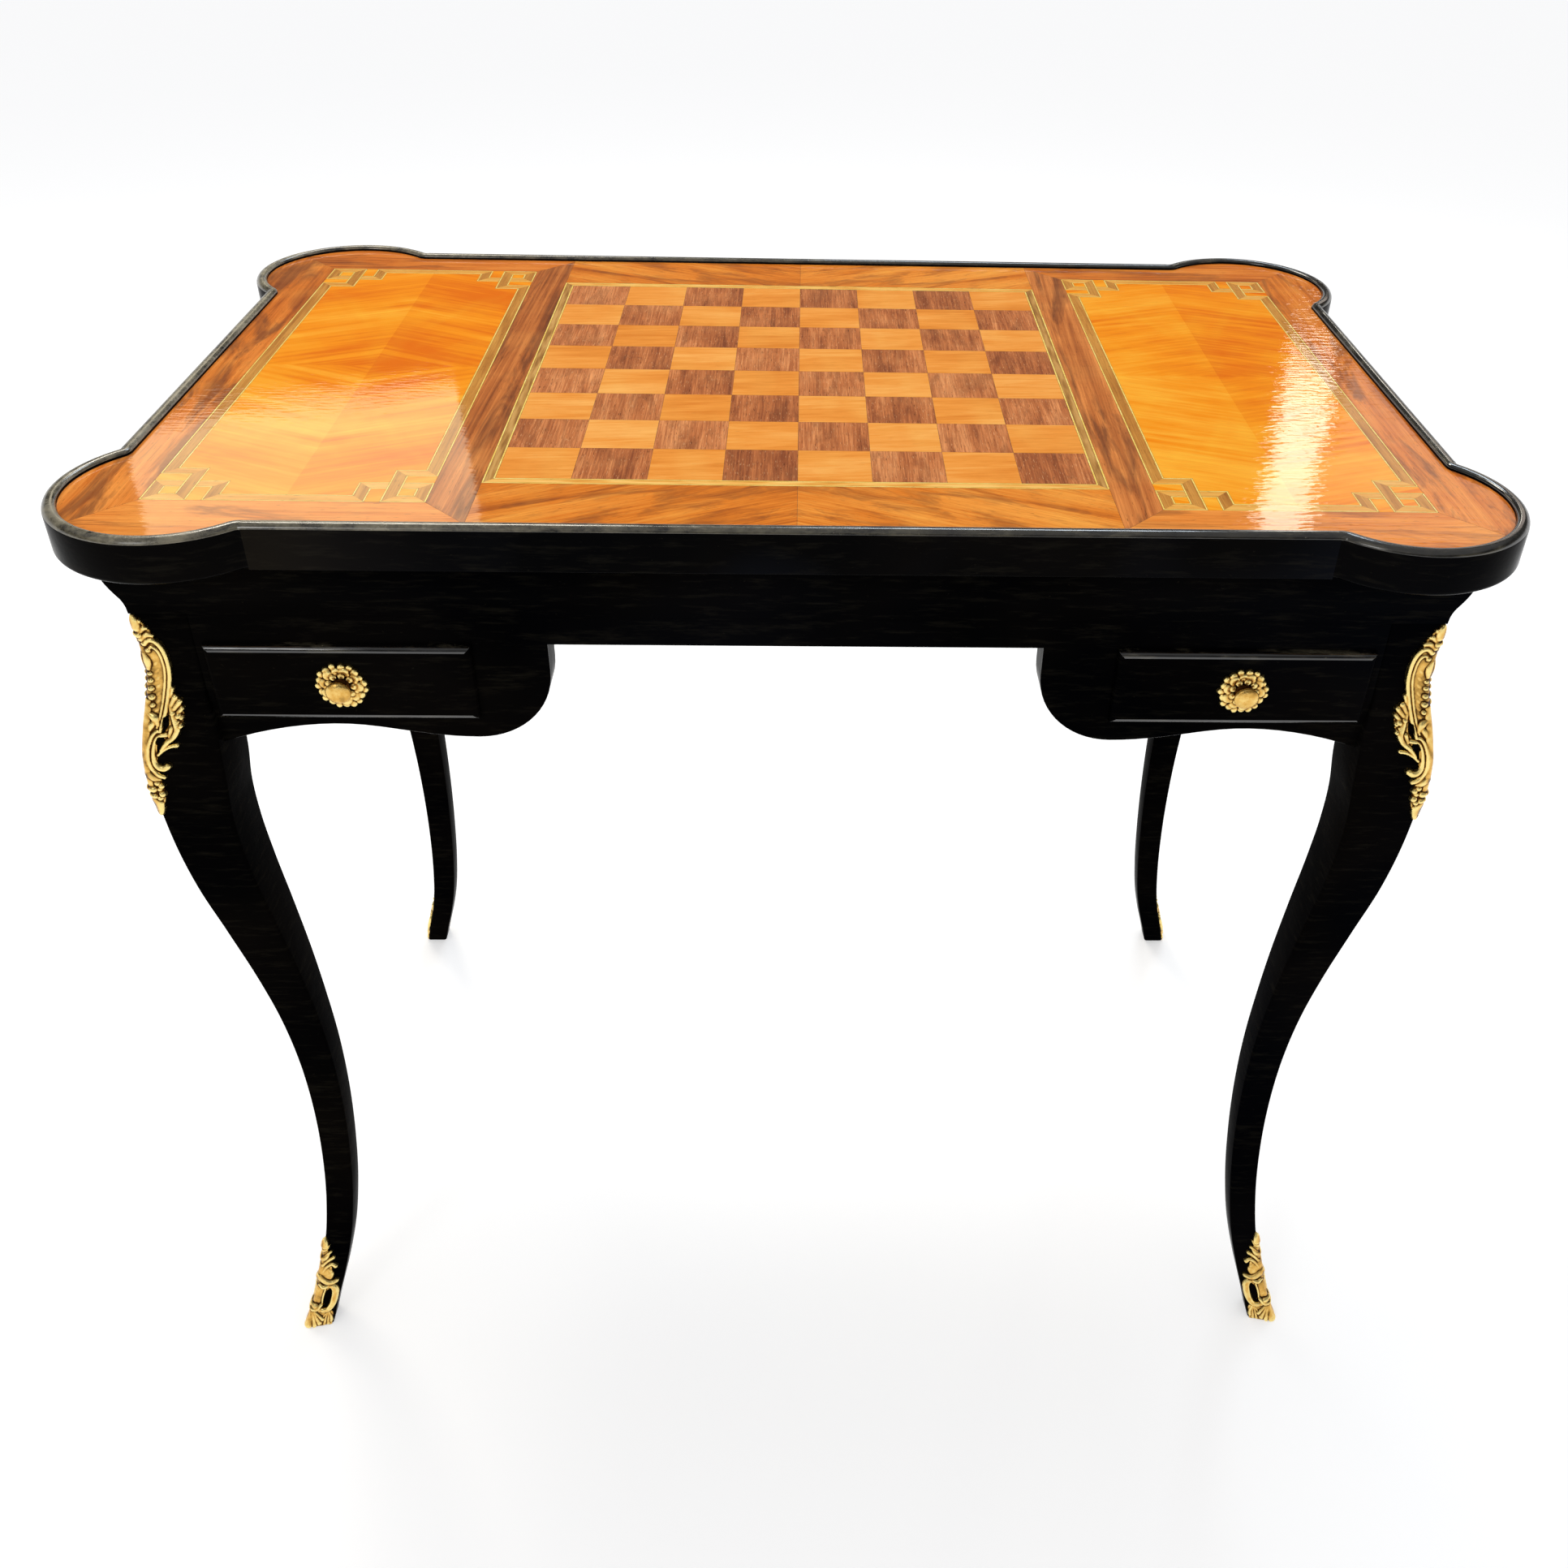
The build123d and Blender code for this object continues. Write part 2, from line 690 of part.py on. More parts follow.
def backgammon_points(parity):
    """Inlaid points of one colour, in two rows each side of the divider."""
    low = well_floor_top - point_inlay_depth
    length = post_inner_y - point_row_gap / 2
    run = post_inner_x - well_divider_width / 2
    pitch = run / points_per_row
    points = []
    for index in range(points_per_row):
        if index % 2 == parity:
            x_low = well_divider_width / 2 + index * pitch + point_gap / 2
            x_high = x_low + pitch - point_gap
            outline = [(x_low, -post_inner_y), (x_high, -post_inner_y),
                       ((x_low + x_high) / 2, length - post_inner_y)]
            point = plate(outline, low, well_floor_top)
            points.append(point)
            points.append(mirrored(point, True, True))
    for index in range(points_per_row):
        if index % 2 != parity:
            x_low = well_divider_width / 2 + index * pitch + point_gap / 2
            x_high = x_low + pitch - point_gap
            outline = [(x_low, post_inner_y), (x_high, post_inner_y),
                       ((x_low + x_high) / 2, post_inner_y - length)]
            point = plate(outline, low, well_floor_top)
            points.append(point)
            points.append(mirrored(point, True, True))
    return solids_of(points)


def well_floor(inlays):
    reach_x = apron_inner_x + floor_groove_depth
    reach_y = apron_inner_y + floor_groove_depth
    floor = block(-reach_x, reach_x, -reach_y, reach_y, well_floor_bottom, well_floor_top)
    for flips in corners.values():
        post = block(-reach_x, -post_inner_x, -reach_y, -post_inner_y, well_floor_bottom, well_floor_top)
        floor = floor - mirrored(post, *flips)
    for inlay in inlays:
        floor = floor - inlay
    return floor


parts["light_points"] = backgammon_points(0)
parts["dark_points"] = backgammon_points(1)
parts["well_floor"] = well_floor([parts["light_points"], parts["dark_points"]])
long_lining = block(-post_inner_x, post_inner_x, -apron_inner_y, -post_inner_y, well_floor_top, case_top)
short_lining = block(-apron_inner_x, -post_inner_x, -post_inner_y, post_inner_y, well_floor_top, case_top)
parts["well_lining"] = solids_of([
    long_lining, mirrored(long_lining, False, True), short_lining, mirrored(short_lining, True, False),
])
bar = block(-well_divider_width / 2, well_divider_width / 2, -post_inner_y, post_inner_y,
            well_floor_top, well_floor_top + well_divider_height)
bar_edges = bar.faces().sort_by(Axis.Z)[-1].edges().filter_by(Axis.Y)
parts["well_divider"] = fillet(bar_edges, divider_round)


# Framing under the well: cheeks, runners with guides, kickers and glue blocks

opening_low_x = drawer_centre_x - opening_width / 2
opening_high_x = drawer_centre_x + opening_width / 2
cheek_high_x = opening_low_x - guide_thickness
cheek = block(cheek_high_x - cheek_thickness, cheek_high_x, -apron_inner_y, apron_inner_y,
              case_top - lobe_drop + cheek_foot_clearance, well_floor_bottom)


def runner(edge_x, inward):
    """Ledge under a drawer side with an upright guide beside it."""
    guide_x = edge_x - inward * guide_thickness
    ledge_x = edge_x + inward * runner_ledge_width
    ledge_bottom = opening_bottom - runner_ledge_height
    ledge = block(min(guide_x, ledge_x), max(guide_x, ledge_x), -apron_inner_y, apron_inner_y,
                  ledge_bottom, opening_bottom)
    guide = block(min(guide_x, edge_x), max(guide_x, edge_x), -apron_inner_y, apron_inner_y,
                  opening_bottom, opening_bottom + guide_height)
    return ledge + guide


def kicker(edge_x, inward):
    """Strip under the well floor that keeps an open drawer from tipping."""
    far_x = edge_x + inward * kicker_width
    return block(min(edge_x, far_x), max(edge_x, far_x), -apron_inner_y, apron_inner_y,
                 well_floor_bottom - kicker_thickness, well_floor_bottom)


right_runners = [runner(opening_low_x, 1), runner(opening_high_x, -1)]
right_kickers = [kicker(opening_low_x, 1), kicker(opening_high_x, -1)]
glue_block = plate(
    [(-post_inner_x, -post_inner_y), (-apron_inner_x, -post_inner_y), (-apron_inner_x, block_long_side - post_inner_y)],
    leg_joint_height + block_foot_clearance, well_floor_bottom,
)
for name, pieces in (("drawer_cheeks", [cheek]), ("drawer_runners", right_runners), ("drawer_kickers", right_kickers)):
    parts[name] = solids_of(pieces + [mirror(piece, about=Plane.YZ) for piece in pieces])
parts["corner_blocks"] = solids_of([mirrored(glue_block, *flips) for flips in corners.values()])


# Drawers: lipped front, dovetailed sides, back and grooved bottom

box_low_x = drawer_centre_x - opening_width / 2 + drawer_side_clearance
box_high_x = drawer_centre_x + opening_width / 2 - drawer_side_clearance
box_low_z = opening_bottom
box_high_z = opening_top - drawer_height_clearance - drawer_height_clearance
core_back_y = drawer_front_core - case_half_y
box_back_y = apron_inner_y - drawer_back_space
bottom_low_z = box_low_z + drawer_bottom_rise
bottom_high_z = bottom_low_z + drawer_bottom_thickness


def tails(x_low, y_root, direction):
    """Dovetails of one drawer side, drawn in its length and height."""
    pitch = (box_high_z - box_low_z) / tails_per_corner
    y_tip = y_root + direction * tail_length
    half_root = tail_root / 2
    half_tip = half_root + tail_flare
    found = []
    for index in range(tails_per_corner):
        middle = box_low_z + pitch * index + pitch / 2
        profile = Polyline(
            (x_low, y_root, middle - half_root), (x_low, y_tip, middle - half_tip),
            (x_low, y_tip, middle + half_tip), (x_low, y_root, middle + half_root), close=True,
        )
        found.append(extrude(make_face(profile), drawer_side_thickness, dir=(1, 0, 0)))
    return found


def drawer_pieces():
    """The right drawer's wooden pieces."""
    lip_low_x = drawer_centre_x - drawer_front_width / 2
    lip_low_z = drawer_front_top - drawer_front_height
    lip = block(lip_low_x, lip_low_x + drawer_front_width, -case_half_y - drawer_front_proud, -case_half_y,
                lip_low_z, drawer_front_top)
    lip = fillet(lip.faces().sort_by(Axis.Y)[0].edges(), drawer_edge_round)
    front = lip + block(box_low_x, box_high_x, -case_half_y, core_back_y, box_low_z, box_high_z)
    back_front_y = box_back_y - drawer_side_thickness
    side_spans = (
        (box_low_x, box_low_x + drawer_side_thickness), (box_high_x - drawer_side_thickness, box_high_x),
    )
    back = block(box_low_x, box_high_x, back_front_y, box_back_y, bottom_high_z, box_high_z - drawer_back_drop)
    groove = block(
        box_low_x + drawer_groove, box_high_x - drawer_groove, core_back_y - drawer_groove, box_back_y,
        bottom_low_z, bottom_high_z,
    )
    sides = []
    for x_low, x_high in side_spans:
        side = block(x_low, x_high, core_back_y, back_front_y, box_low_z, box_high_z)
        for tail in tails(x_low, core_back_y, -1):
            front = front - tail
            side = side + tail
        side = side + (block(x_low, x_high, back_front_y, box_back_y, box_low_z, box_high_z) - back)
        sides.append(side - groove)
    shank = Pos(drawer_centre_x, core_back_y, front_middle_z) * Rot(90, 0, 0) * Cylinder(
        knob_shank_radius + shank_clearance, top_depth
    )
    front = front - groove - shank
    return {"drawer_front": front, "drawer_sides": solids_of(sides), "drawer_back": back, "drawer_bottom": groove}


def rosette():
    """Lobed plate behind the knob, pierced for its shank."""
    outline = []
    for index in range(rosette_lobes):
        for turn_share, reach in rosette_lobe_shares:
            angle = math.radians(360 * (index + turn_share) / rosette_lobes)
            outline.append((reach * rosette_radius * math.cos(angle), reach * rosette_radius * math.sin(angle)))
    plan = Polygon(*outline, align=None) - Circle(knob_shank_radius + shank_clearance)
    return extrude(plan, rosette_thickness)


def knob():
    """Domed button on a waisted neck, with its shank."""
    shank_end = -(drawer_front_proud + drawer_front_core + nut_thickness)
    dome_base = rosette_thickness + knob_stand - knob_thickness
    dome_radius = (knob_radius**2 + knob_thickness**2) / (knob_thickness + knob_thickness)
    edges = [
        Line((0, shank_end), (knob_shank_radius, shank_end)),
        Line((knob_shank_radius, shank_end), (knob_shank_radius, rosette_thickness)),
        Line((knob_shank_radius, rosette_thickness), (knob_neck_radius, rosette_thickness)),
        Line((knob_neck_radius, rosette_thickness), (knob_neck_radius, dome_base)),
        Line((knob_neck_radius, dome_base), (knob_radius, dome_base)),
        RadiusArc((knob_radius, dome_base), (0, dome_base + knob_thickness), -dome_radius),
        Line((0, dome_base + knob_thickness), (0, shank_end)),
    ]
    turned = revolve(Rot(90, 0, 0) * make_face(edges), Axis.Z)
    nut_plan = RegularPolygon(nut_radius, 4) - Circle(knob_shank_radius)
    nut = Pos(0, 0, shank_end) * extrude(nut_plan, nut_thickness)
    return solids_of([turned, nut])


front_middle_z = drawer_front_top - drawer_front_height / 2
on_face = Pos(drawer_centre_x, -case_half_y - drawer_front_proud, front_middle_z) * Rot(90, 0, 0)
drawer = drawer_pieces()
drawer["drawer_rosette"] = on_face * rosette()
drawer["drawer_knob"] = on_face * knob()
for name, piece in drawer.items():
    parts[name + "_right"] = piece
    parts[name + "_left"] = mirror(piece, about=Plane.YZ)


# Gilt mounts: two leafy wings that meet along the outer corner of each leg

arris_plane = Plane(origin=(-case_half_x, -case_half_y, 0), z_dir=(1, -1, 0))


def face_prism(top, length, body_shares, thickness):
    """Block behind a curve that stands off the front face of the front left leg."""
    curve = []
    for length_share, body_share in body_shares:
        height = top - length_share * length
        curve.append((-case_half_y - leg_outer(height) - mount_gap - body_share * thickness, height))
    foot = (-post_inner_y, top - length)
    head = (-post_inner_y, top)
    edges = [Spline(*curve), Line(curve[-1], foot), Line(foot, head), Line(head, curve[0])]
    start_x = -case_half_x - leg_sway - leg_sway
    return Pos(start_x, 0, 0) * (Plane.YZ * extrude(make_face(edges), -post_inner_x - start_x))


def edge_point(top, length, reach, shares):
    """Place on the front face at shares of a mount's length and of its reach from the leg's corner."""
    height = top - shares[0] * length
    return (shares[1] * reach - case_half_x - leg_outer(height), height)


def leafy_outline(top, length, reach, edge_shares):
    """Outline of a wing: small pointed lobes down its free edge, closed beyond the leg's corner."""
    points = [edge_point(top, length, reach, shares) for shares in edge_shares]
    edges = []
    for start, end in zip(points, points[1:]):
        run = math.hypot(end[0] - start[0], end[1] - start[1])
        bulge = lobe_bulge_share * run
        middle = (
            (start[0] + end[0]) / 2 + bulge * (start[1] - end[1]) / run,
            (start[1] + end[1]) / 2 + bulge * (end[0] - start[0]) / run,
        )
        edges.append(Line(start, middle))
        edges.append(Line(middle, end))
    far_x = -case_half_x - leg_sway - leg_sway
    edges.append(Line(points[-1], (far_x, points[-1][1])))
    edges.append(Line((far_x, points[-1][1]), (far_x, points[0][1])))
    edges.append(Line((far_x, points[0][1]), points[0]))
    return make_face(edges)


def mount_wing(top, length, reach, thickness, edge_shares, body_shares, holes):
    """Wing of a mount over the front face, cut at the diagonal through the leg's corner."""
    flat_shares = [(length_share, 0) for length_share, body_share in body_shares]
    outer = face_prism(top, length, body_shares, thickness)
    inner = face_prism(top, length, flat_shares, thickness)
    plan = leafy_outline(top, length, reach, edge_shares) - holes
    wing = (outer - inner) & (Plane.XZ * extrude(plan, top_depth))
    side = post_size + post_size
    front_half = Pos(-case_half_x, -case_half_y, 0) * Rot(0, 0, 45) * block(-side, side, -side, 0, 0, case_top)
    return wing & front_half


def oval_hole(place, half_width, stretch):
    """Pierced slot, upright, with round ends."""
    return Pos(place[0], place[1]) * (Circle(half_width) + Pos(0, stretch) * Circle(half_width)
                                      + Pos(0, -stretch) * Circle(half_width)
                                      + Rectangle(half_width + half_width, stretch + stretch))


def gilt_mount(top, length, reach, thickness, edge_shares, body_shares, hole_shares, hole_radius):
    """Both wings of a mount, joined along the leg's corner."""
    holes = [
        oval_hole(edge_point(top, length, reach, shares), hole_radius, shares[2] * length) for shares in hole_shares
    ]
    wing = mount_wing(top, length, reach, thickness, edge_shares, body_shares, holes)
    return wing + mirror(wing, about=arris_plane)


knee_top = case_top - moulding_height - knee_mount_top_gap
mount = gilt_mount(
    knee_top, knee_mount_length, knee_mount_reach, knee_mount_thickness, knee_mount_edge_shares,
    knee_mount_body_shares, knee_mount_hole_shares, knee_mount_hole_radius,
)
shoe = gilt_mount(
    sabot_height, sabot_height, sabot_reach, sabot_thickness, sabot_edge_shares, sabot_body_shares,
    sabot_hole_shares, sabot_hole_radius,
)
for corner, flips in corners.items():
    parts["knee_mount_" + corner] = mirrored(mount, *flips)
    parts["sabot_" + corner] = mirrored(shoe, *flips)


os.makedirs("parts", exist_ok=True)
for name, shape in parts.items():
    export_step(shape, os.path.join("parts", name + ".step"))
print(len(parts), "nodes")
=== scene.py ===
import contextlib
import math

import bmesh
import bpy
import numpy as np
from mathutils import Matrix


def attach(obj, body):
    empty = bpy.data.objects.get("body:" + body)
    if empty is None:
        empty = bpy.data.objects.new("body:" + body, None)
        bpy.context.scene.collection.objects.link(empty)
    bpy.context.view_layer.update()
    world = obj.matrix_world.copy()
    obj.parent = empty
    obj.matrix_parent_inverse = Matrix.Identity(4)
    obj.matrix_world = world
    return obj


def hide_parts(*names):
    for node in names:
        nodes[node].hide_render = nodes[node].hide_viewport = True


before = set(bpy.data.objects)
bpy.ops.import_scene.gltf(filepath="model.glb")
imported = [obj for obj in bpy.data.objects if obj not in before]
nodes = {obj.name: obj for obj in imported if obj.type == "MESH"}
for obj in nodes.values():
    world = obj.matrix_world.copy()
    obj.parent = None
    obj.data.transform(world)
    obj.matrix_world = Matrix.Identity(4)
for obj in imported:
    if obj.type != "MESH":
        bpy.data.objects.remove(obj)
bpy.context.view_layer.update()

# Games table. The part's own frame, in metres: origin on the floor, front towards -Y.

mm = 0.001
case_top = 716.5 * mm
surface = 741.5 * mm
half_length = 412.0 * mm
half_depth = 251.5 * mm
ear_radius = 72.0 * mm
ear_inset = 52.0 * mm
ear_joint_inset = 104.0 * mm
notch_round = 3.0 * mm
band_height = 28.5 * mm
band_width = 8.0 * mm
rail_gap = 0.06 * mm
case_half_x = 391.0 * mm
case_half_y = 230.5 * mm
mitre_gap = 0.02 * mm
post_size = 32.0 * mm
leg_sway = 16.0 * mm
leg_arris = 1.8 * mm
board_half = 180.0 * mm
square_size = 45.0 * mm
panel_middle_x = 295.5 * mm
kneehole_half = 183.5 * mm
drawer_centre_x = 274.5 * mm
drawer_front_y = -236.5 * mm
drawer_middle_z = 631.0 * mm
same_place = 0.01 * mm

# Down a leg: share of the case's height, share of the sway, share of the post's width
leg_stations = [
    (0.895, 0.00, 1.000), (0.865, 0.18, 1.080), (0.837, 0.46, 1.300), (0.809, 0.69, 1.430),
    (0.780, 0.77, 1.450), (0.748, 0.73, 1.370), (0.706, 0.62, 1.310), (0.659, 0.40, 1.250),
    (0.592, -0.07, 1.120), (0.516, -0.59, 0.965), (0.462, -0.89, 0.865), (0.398, -1.11, 0.790),
    (0.322, -1.18, 0.730), (0.248, -1.07, 0.690), (0.173, -0.78, 0.665), (0.119, -0.42, 0.650),
    (0.067, 0.12, 0.630), (0.028, 0.63, 0.620), (0.000, 0.94, 0.600),
]


def tint(red, green, blue):
    """Colour as the eye reads it, 0 to 255, turned to linear light."""
    linear = []
    for value in (red, green, blue):
        share = value / 255
        linear.append(share / 12.92 if share <= 0.04045 else ((share + 0.055) / 1.055) ** 2.4)
    return (*linear, 1.0)


def grey(level):
    """Grey in linear light."""
    return (level, level, level, 1.0)


def settle(thing, **settings):
    for setting, value in settings.items():
        setattr(thing, setting, value)


def put_in_scene(name, data, **settings):
    made = bpy.data.objects.new(name, data)
    bpy.context.scene.collection.objects.link(made)
    settle(made, **settings)
    return made


class Wires:
    """A tree of nodes, each made and wired where it is asked for."""

    def __init__(self, tree):
        self.tree = tree

    def feed(self, socket, value):
        """Wires a socket to another, or sets it to a plain value."""
        if isinstance(value, bpy.types.NodeSocket):
            self.tree.links.new(value, socket)
        else:
            socket.default_value = value

    def node(self, kind, sockets=None, output=0, **settings):
        made = self.tree.nodes.new(kind)
        settle(made, **settings)
        for socket, value in (sockets or {}).items():
            self.feed(made.inputs[socket], value)
        return made.outputs[output]

    def maths(self, work, first, second=0.0):
        return self.node("ShaderNodeMath", {0: first, 1: second}, operation=work)

    def axes(self, place):
        return self.node("ShaderNodeSeparateXYZ", {0: place}).node.outputs[:]

    def join(self, x, y=0.0, z=0.0):
        return self.node("ShaderNodeCombineXYZ", {0: x, 1: y, 2: z})

    def ramp(self, value, marks, colours):
        """Colours read by a value, each at its mark."""
        made = self.node("ShaderNodeValToRGB", {0: value}).node
        stones = made.color_ramp.elements
        while len(stones) < len(marks):
            stones.new(0.5)
        for stone, mark, colour in zip(stones, marks, colours):
            settle(stone, position=mark, color=colour)
        return made.outputs[0]

    def lay(self, share, under, over, way="MIX"):
        """One colour laid over another."""
        return self.node("ShaderNodeMix", {0: share, 6: under, 7: over}, 2, data_type="RGBA", blend_type=way)

    def rays(self):
        """Rays of the camera alone, and rays of the camera, gloss and glass together."""
        sight = self.node("ShaderNodeLightPath", output="Is Camera Ray")
        either = sight
        for other in ("Is Glossy Ray", "Is Transmission Ray"):
            either = self.maths("MAXIMUM", either, sight.node.outputs[other])
        return sight, either


class Finish(Wires):
    """One finish of the table. Its wood is where figure and grain are read, turned to the grain's own way."""

    def __init__(self, name, turn=0.0):
        self.material = bpy.data.materials.new(name)
        self.material.use_nodes = True
        super().__init__(self.material.node_tree)
        self.shader = self.tree.nodes["Principled BSDF"]
        self.place = self.node("ShaderNodeTexCoord", output="Object")
        self.wood, self.turn = self.place, turn

    def noise(self, sizes, detail=3.0, roughness=0.5, distortion=0.0, place=None, turn=0.0, start=(0.0, 0.0, 0.0)):
        """Noise whose clouds have these lengths along X, Y and Z."""
        spot = self.node("ShaderNodeMapping", {
            "Vector": self.place if place is None else place, "Location": start, "Rotation": (0.0, 0.0, turn),
            "Scale": sizes}, vector_type="TEXTURE")
        return self.node("ShaderNodeTexNoise", {
            "Vector": spot, "Scale": 1.0, "Detail": detail, "Roughness": roughness, "Distortion": distortion})

    def grain(self, along, across, detail=3.0, roughness=0.5, distortion=0.0, start=(0.0, 0.0, 0.0)):
        """Noise drawn out along the grain of the wood."""
        return self.noise((along, across, across), detail, roughness, distortion, self.wood, self.turn, start)

    def weigh(self, *pairs):
        """Sum of values, each with its weight."""
        total = None
        for value, weight in pairs:
            part = self.maths("MULTIPLY", value, weight)
            total = part if total is None else self.maths("ADD", total, part)
        return total

    def spread(self, value, low, high, to_low=0.0, to_high=1.0):
        """Value read between two marks, and held past them."""
        sockets = {"Value": value, "From Min": low, "From Max": high, "To Min": to_low, "To Max": to_high}
        return self.node("ShaderNodeMapRange", sockets, clamp=True)

    def bump(self, height, depth):
        return self.node("ShaderNodeBump", {"Height": height, "Strength": 1.0, "Distance": depth}, "Normal")

    def wire(self, **sockets):
        """Shader sockets, written with underscores for spaces."""
        for name, value in sockets.items():
            self.feed(self.shader.inputs[name.replace("_", " ")], value)
        return self.material


# Finishes of the veneers

heartwood_smoke = tint(98, 56, 38)
pore_brown = tint(60, 28, 14)
pale_fleck = tint(236, 184, 132)


def polished(f, colour):
    """Wood under a clear hand-rubbed polish: slight waves, and fine ripples that are stronger towards the right."""
    ripple = f.noise((0.014, 0.0034, 0.0034), 2.0)
    ripple = f.maths("MULTIPLY", ripple, f.spread(f.axes(f.place)[0], -0.15, 0.20, 0.35, 1.5))
    sag = f.noise((0.11, 0.09, 0.09), 1.0)
    return f.wire(
        Base_Color=colour, Roughness=0.5, IOR=1.04, Coat_Weight=1.0, Coat_Roughness=0.04, Coat_IOR=1.24,
        Coat_Normal=f.bump(f.weigh((ripple, 1.0), (sag, 3.2)), 0.11 * mm))


def veneer(
        name, tones, turn=0.0, figure=0.028, reach=0.26, layout=None, pores=0.5, glow=0.12, smoke=0.0, fibre=0.30,
        flecks=0.0):
    """Polished veneer: broad figure, streaks, clouds, smoky heart, fibres, short pores along the grain, and a painted
    sheen in its lightest tone.
    """
    f = Finish(name, turn)
    dark, _, light = tones
    f.wood, shade = layout(f) if layout else (f.place, None)
    bands = f.grain(reach, figure, 5.0, 0.6, 0.7)
    streaks = f.grain(reach * 0.4, figure * 0.12, 4.0, 0.55, 0.2)
    clouds = f.grain(0.07, 0.045)
    level = f.weigh((bands, 0.50), (streaks, 0.34), (clouds, 0.16))
    if shade is not None:
        level = f.maths("ADD", level, shade)
    colour = f.ramp(level, (0.36, 0.49, 0.64), tones)
    if smoke:
        wisps = f.grain(reach * 0.42, figure * 0.95, 4.0, 0.62, 0.9, (0.31, 0.17, 0.0))
        colour = f.lay(f.spread(wisps, 0.50, 0.63, 0.0, smoke), colour, heartwood_smoke)
    colour = f.lay(f.spread(f.grain(0.022, 0.0007, 2.0), 0.35, 0.62, fibre, 0.0), colour, dark)
    colour = f.lay(f.spread(f.grain(0.0070, 0.0006, 1.0), 0.66, 0.74, 0.0, pores), colour, pore_brown)
    if flecks:
        pale = f.grain(0.0060, 0.0005, 1.0, start=(0.4, 0.2, 0.0))
        colour = f.lay(f.spread(pale, 0.66, 0.72, 0.0, flecks), colour, pale_fleck)
    # Long streaks of the lightest tone screened over the colour: a painted sheen.
    return polished(f, f.lay(f.spread(f.grain(0.030, 0.11, 2.0), 0.48, 0.70, 0.0, glow), colour, light, "SCREEN"))


def quarter_matched(middle_x):
    """Four leaves of one veneer, opened about the middle of a panel, darker where the four meet."""
    def layout(f):
        x, y, z = f.axes(f.place)
        off = f.maths("SUBTRACT", x, middle_x)
        across, along = f.maths("ABSOLUTE", off), f.maths("ABSOLUTE", y)
        reach = f.maths("SQRT", f.weigh((f.maths("MULTIPLY", across, across), 1.0),
                                        (f.maths("MULTIPLY", along, along), 0.4)))
        heart = f.spread(reach, 0.01, 0.060, -0.07, 0.0)
        return f.join(across, along, z), f.weigh(
            (f.maths("SIGN", off), -0.032), (f.maths("SIGN", y), -0.028), (heart, 1.0))
    return layout


def square_matched(f):
    """Each chess square is its own piece of veneer, with its own tone."""
    x, y, z = f.axes(f.place)
    column, row = (
        f.maths("FLOOR", f.maths("DIVIDE", f.maths("ADD", axis, board_half), square_size)) for axis in (x, y))
    number = f.weigh((column, 7.31), (row, 3.17))
    chance = f.node("ShaderNodeTexWhiteNoise", {"W": number}, "Value", noise_dimensions="1D")
    own_wood = f.join(f.maths("ADD", x, number), f.maths("ADD", y, number), z)
    return own_wood, f.spread(chance, 0.0, 1.0, -0.065, 0.065)


def book_matched(f):
    """Two leaves opened about the middle of the table."""
    x, y, z = f.axes(f.place)
    leaf_place = f.join(f.maths("ABSOLUTE", x), f.maths("MULTIPLY", f.maths("ABSOLUTE", y), -1.0), z)
    return leaf_place, f.maths("MULTIPLY", f.maths("SIGN", x), 0.030)


def lighter_in_front(f):
    """Veneer lighter towards the front of the table, in part a painted reflection of the glare there."""
    return f.place, f.spread(f.axes(f.place)[1], -0.23, 0.02, 0.075, -0.01)


def lighter_on_the_right(f):
    """Darker leaf for the left divider, lighter for the right."""
    return f.place, f.spread(f.axes(f.place)[0], -0.1, 0.1, -0.02, 0.05)


satin_tones = (tint(230, 112, 2), tint(248, 148, 16), tint(254, 178, 52))
rose_tones = (tint(150, 72, 28), tint(218, 120, 42), tint(246, 154, 68))
divider_tones = (tint(124, 64, 34), tint(190, 108, 52), tint(236, 148, 76))
cross_tones = (tint(168, 84, 28), tint(226, 128, 40), tint(250, 164, 68))
dark_square_tones = (tint(138, 74, 44), tint(200, 119, 68), tint(238, 158, 98))
light_square_tones = (tint(222, 132, 46), tint(240, 154, 64), tint(250, 178, 92))
# One banding in two tones: lighter where it runs along X, darker along Y, as light falls on its grain; painted light
# and shade.
banding_tones_painted_lit = (tint(206, 138, 54), tint(230, 162, 70), tint(244, 188, 98))
banding_tones_painted_shade = (tint(160, 100, 42), tint(198, 134, 58), tint(220, 158, 76))
boxwood_tones = (tint(236, 186, 80), tint(250, 216, 110), tint(255, 238, 152))
quarter_turn = math.radians(90)


def banding_of_frame():
    """One banding round the board's frame, golden along the ends and brown across the sides: painted light and shade,
    as light falls on its grain.
    """
    f = Finish("board_frame_banding")
    x, y, z = f.axes(f.place)
    along_end = f.maths("GREATER_THAN", f.maths("ABSOLUTE", y), f.maths("ABSOLUTE", x))
    along = f.node("ShaderNodeMix", {0: along_end, 2: y, 3: x})
    across = f.node("ShaderNodeMix", {0: along_end, 2: x, 3: y})
    f.wood = f.join(along, across, z)
    streaks = f.grain(0.030, 0.003, 4.0)
    # Golden is the painted lit tone, brown the painted shaded tone.
    golden, brown = (f.ramp(streaks, (0.36, 0.5, 0.64), tones) for tones in (
        (tint(222, 150, 62), tint(240, 176, 84), tint(250, 200, 112)),
        (tint(150, 104, 52), tint(184, 134, 70), tint(208, 160, 92))))
    return polished(f, f.lay(along_end, brown, golden))


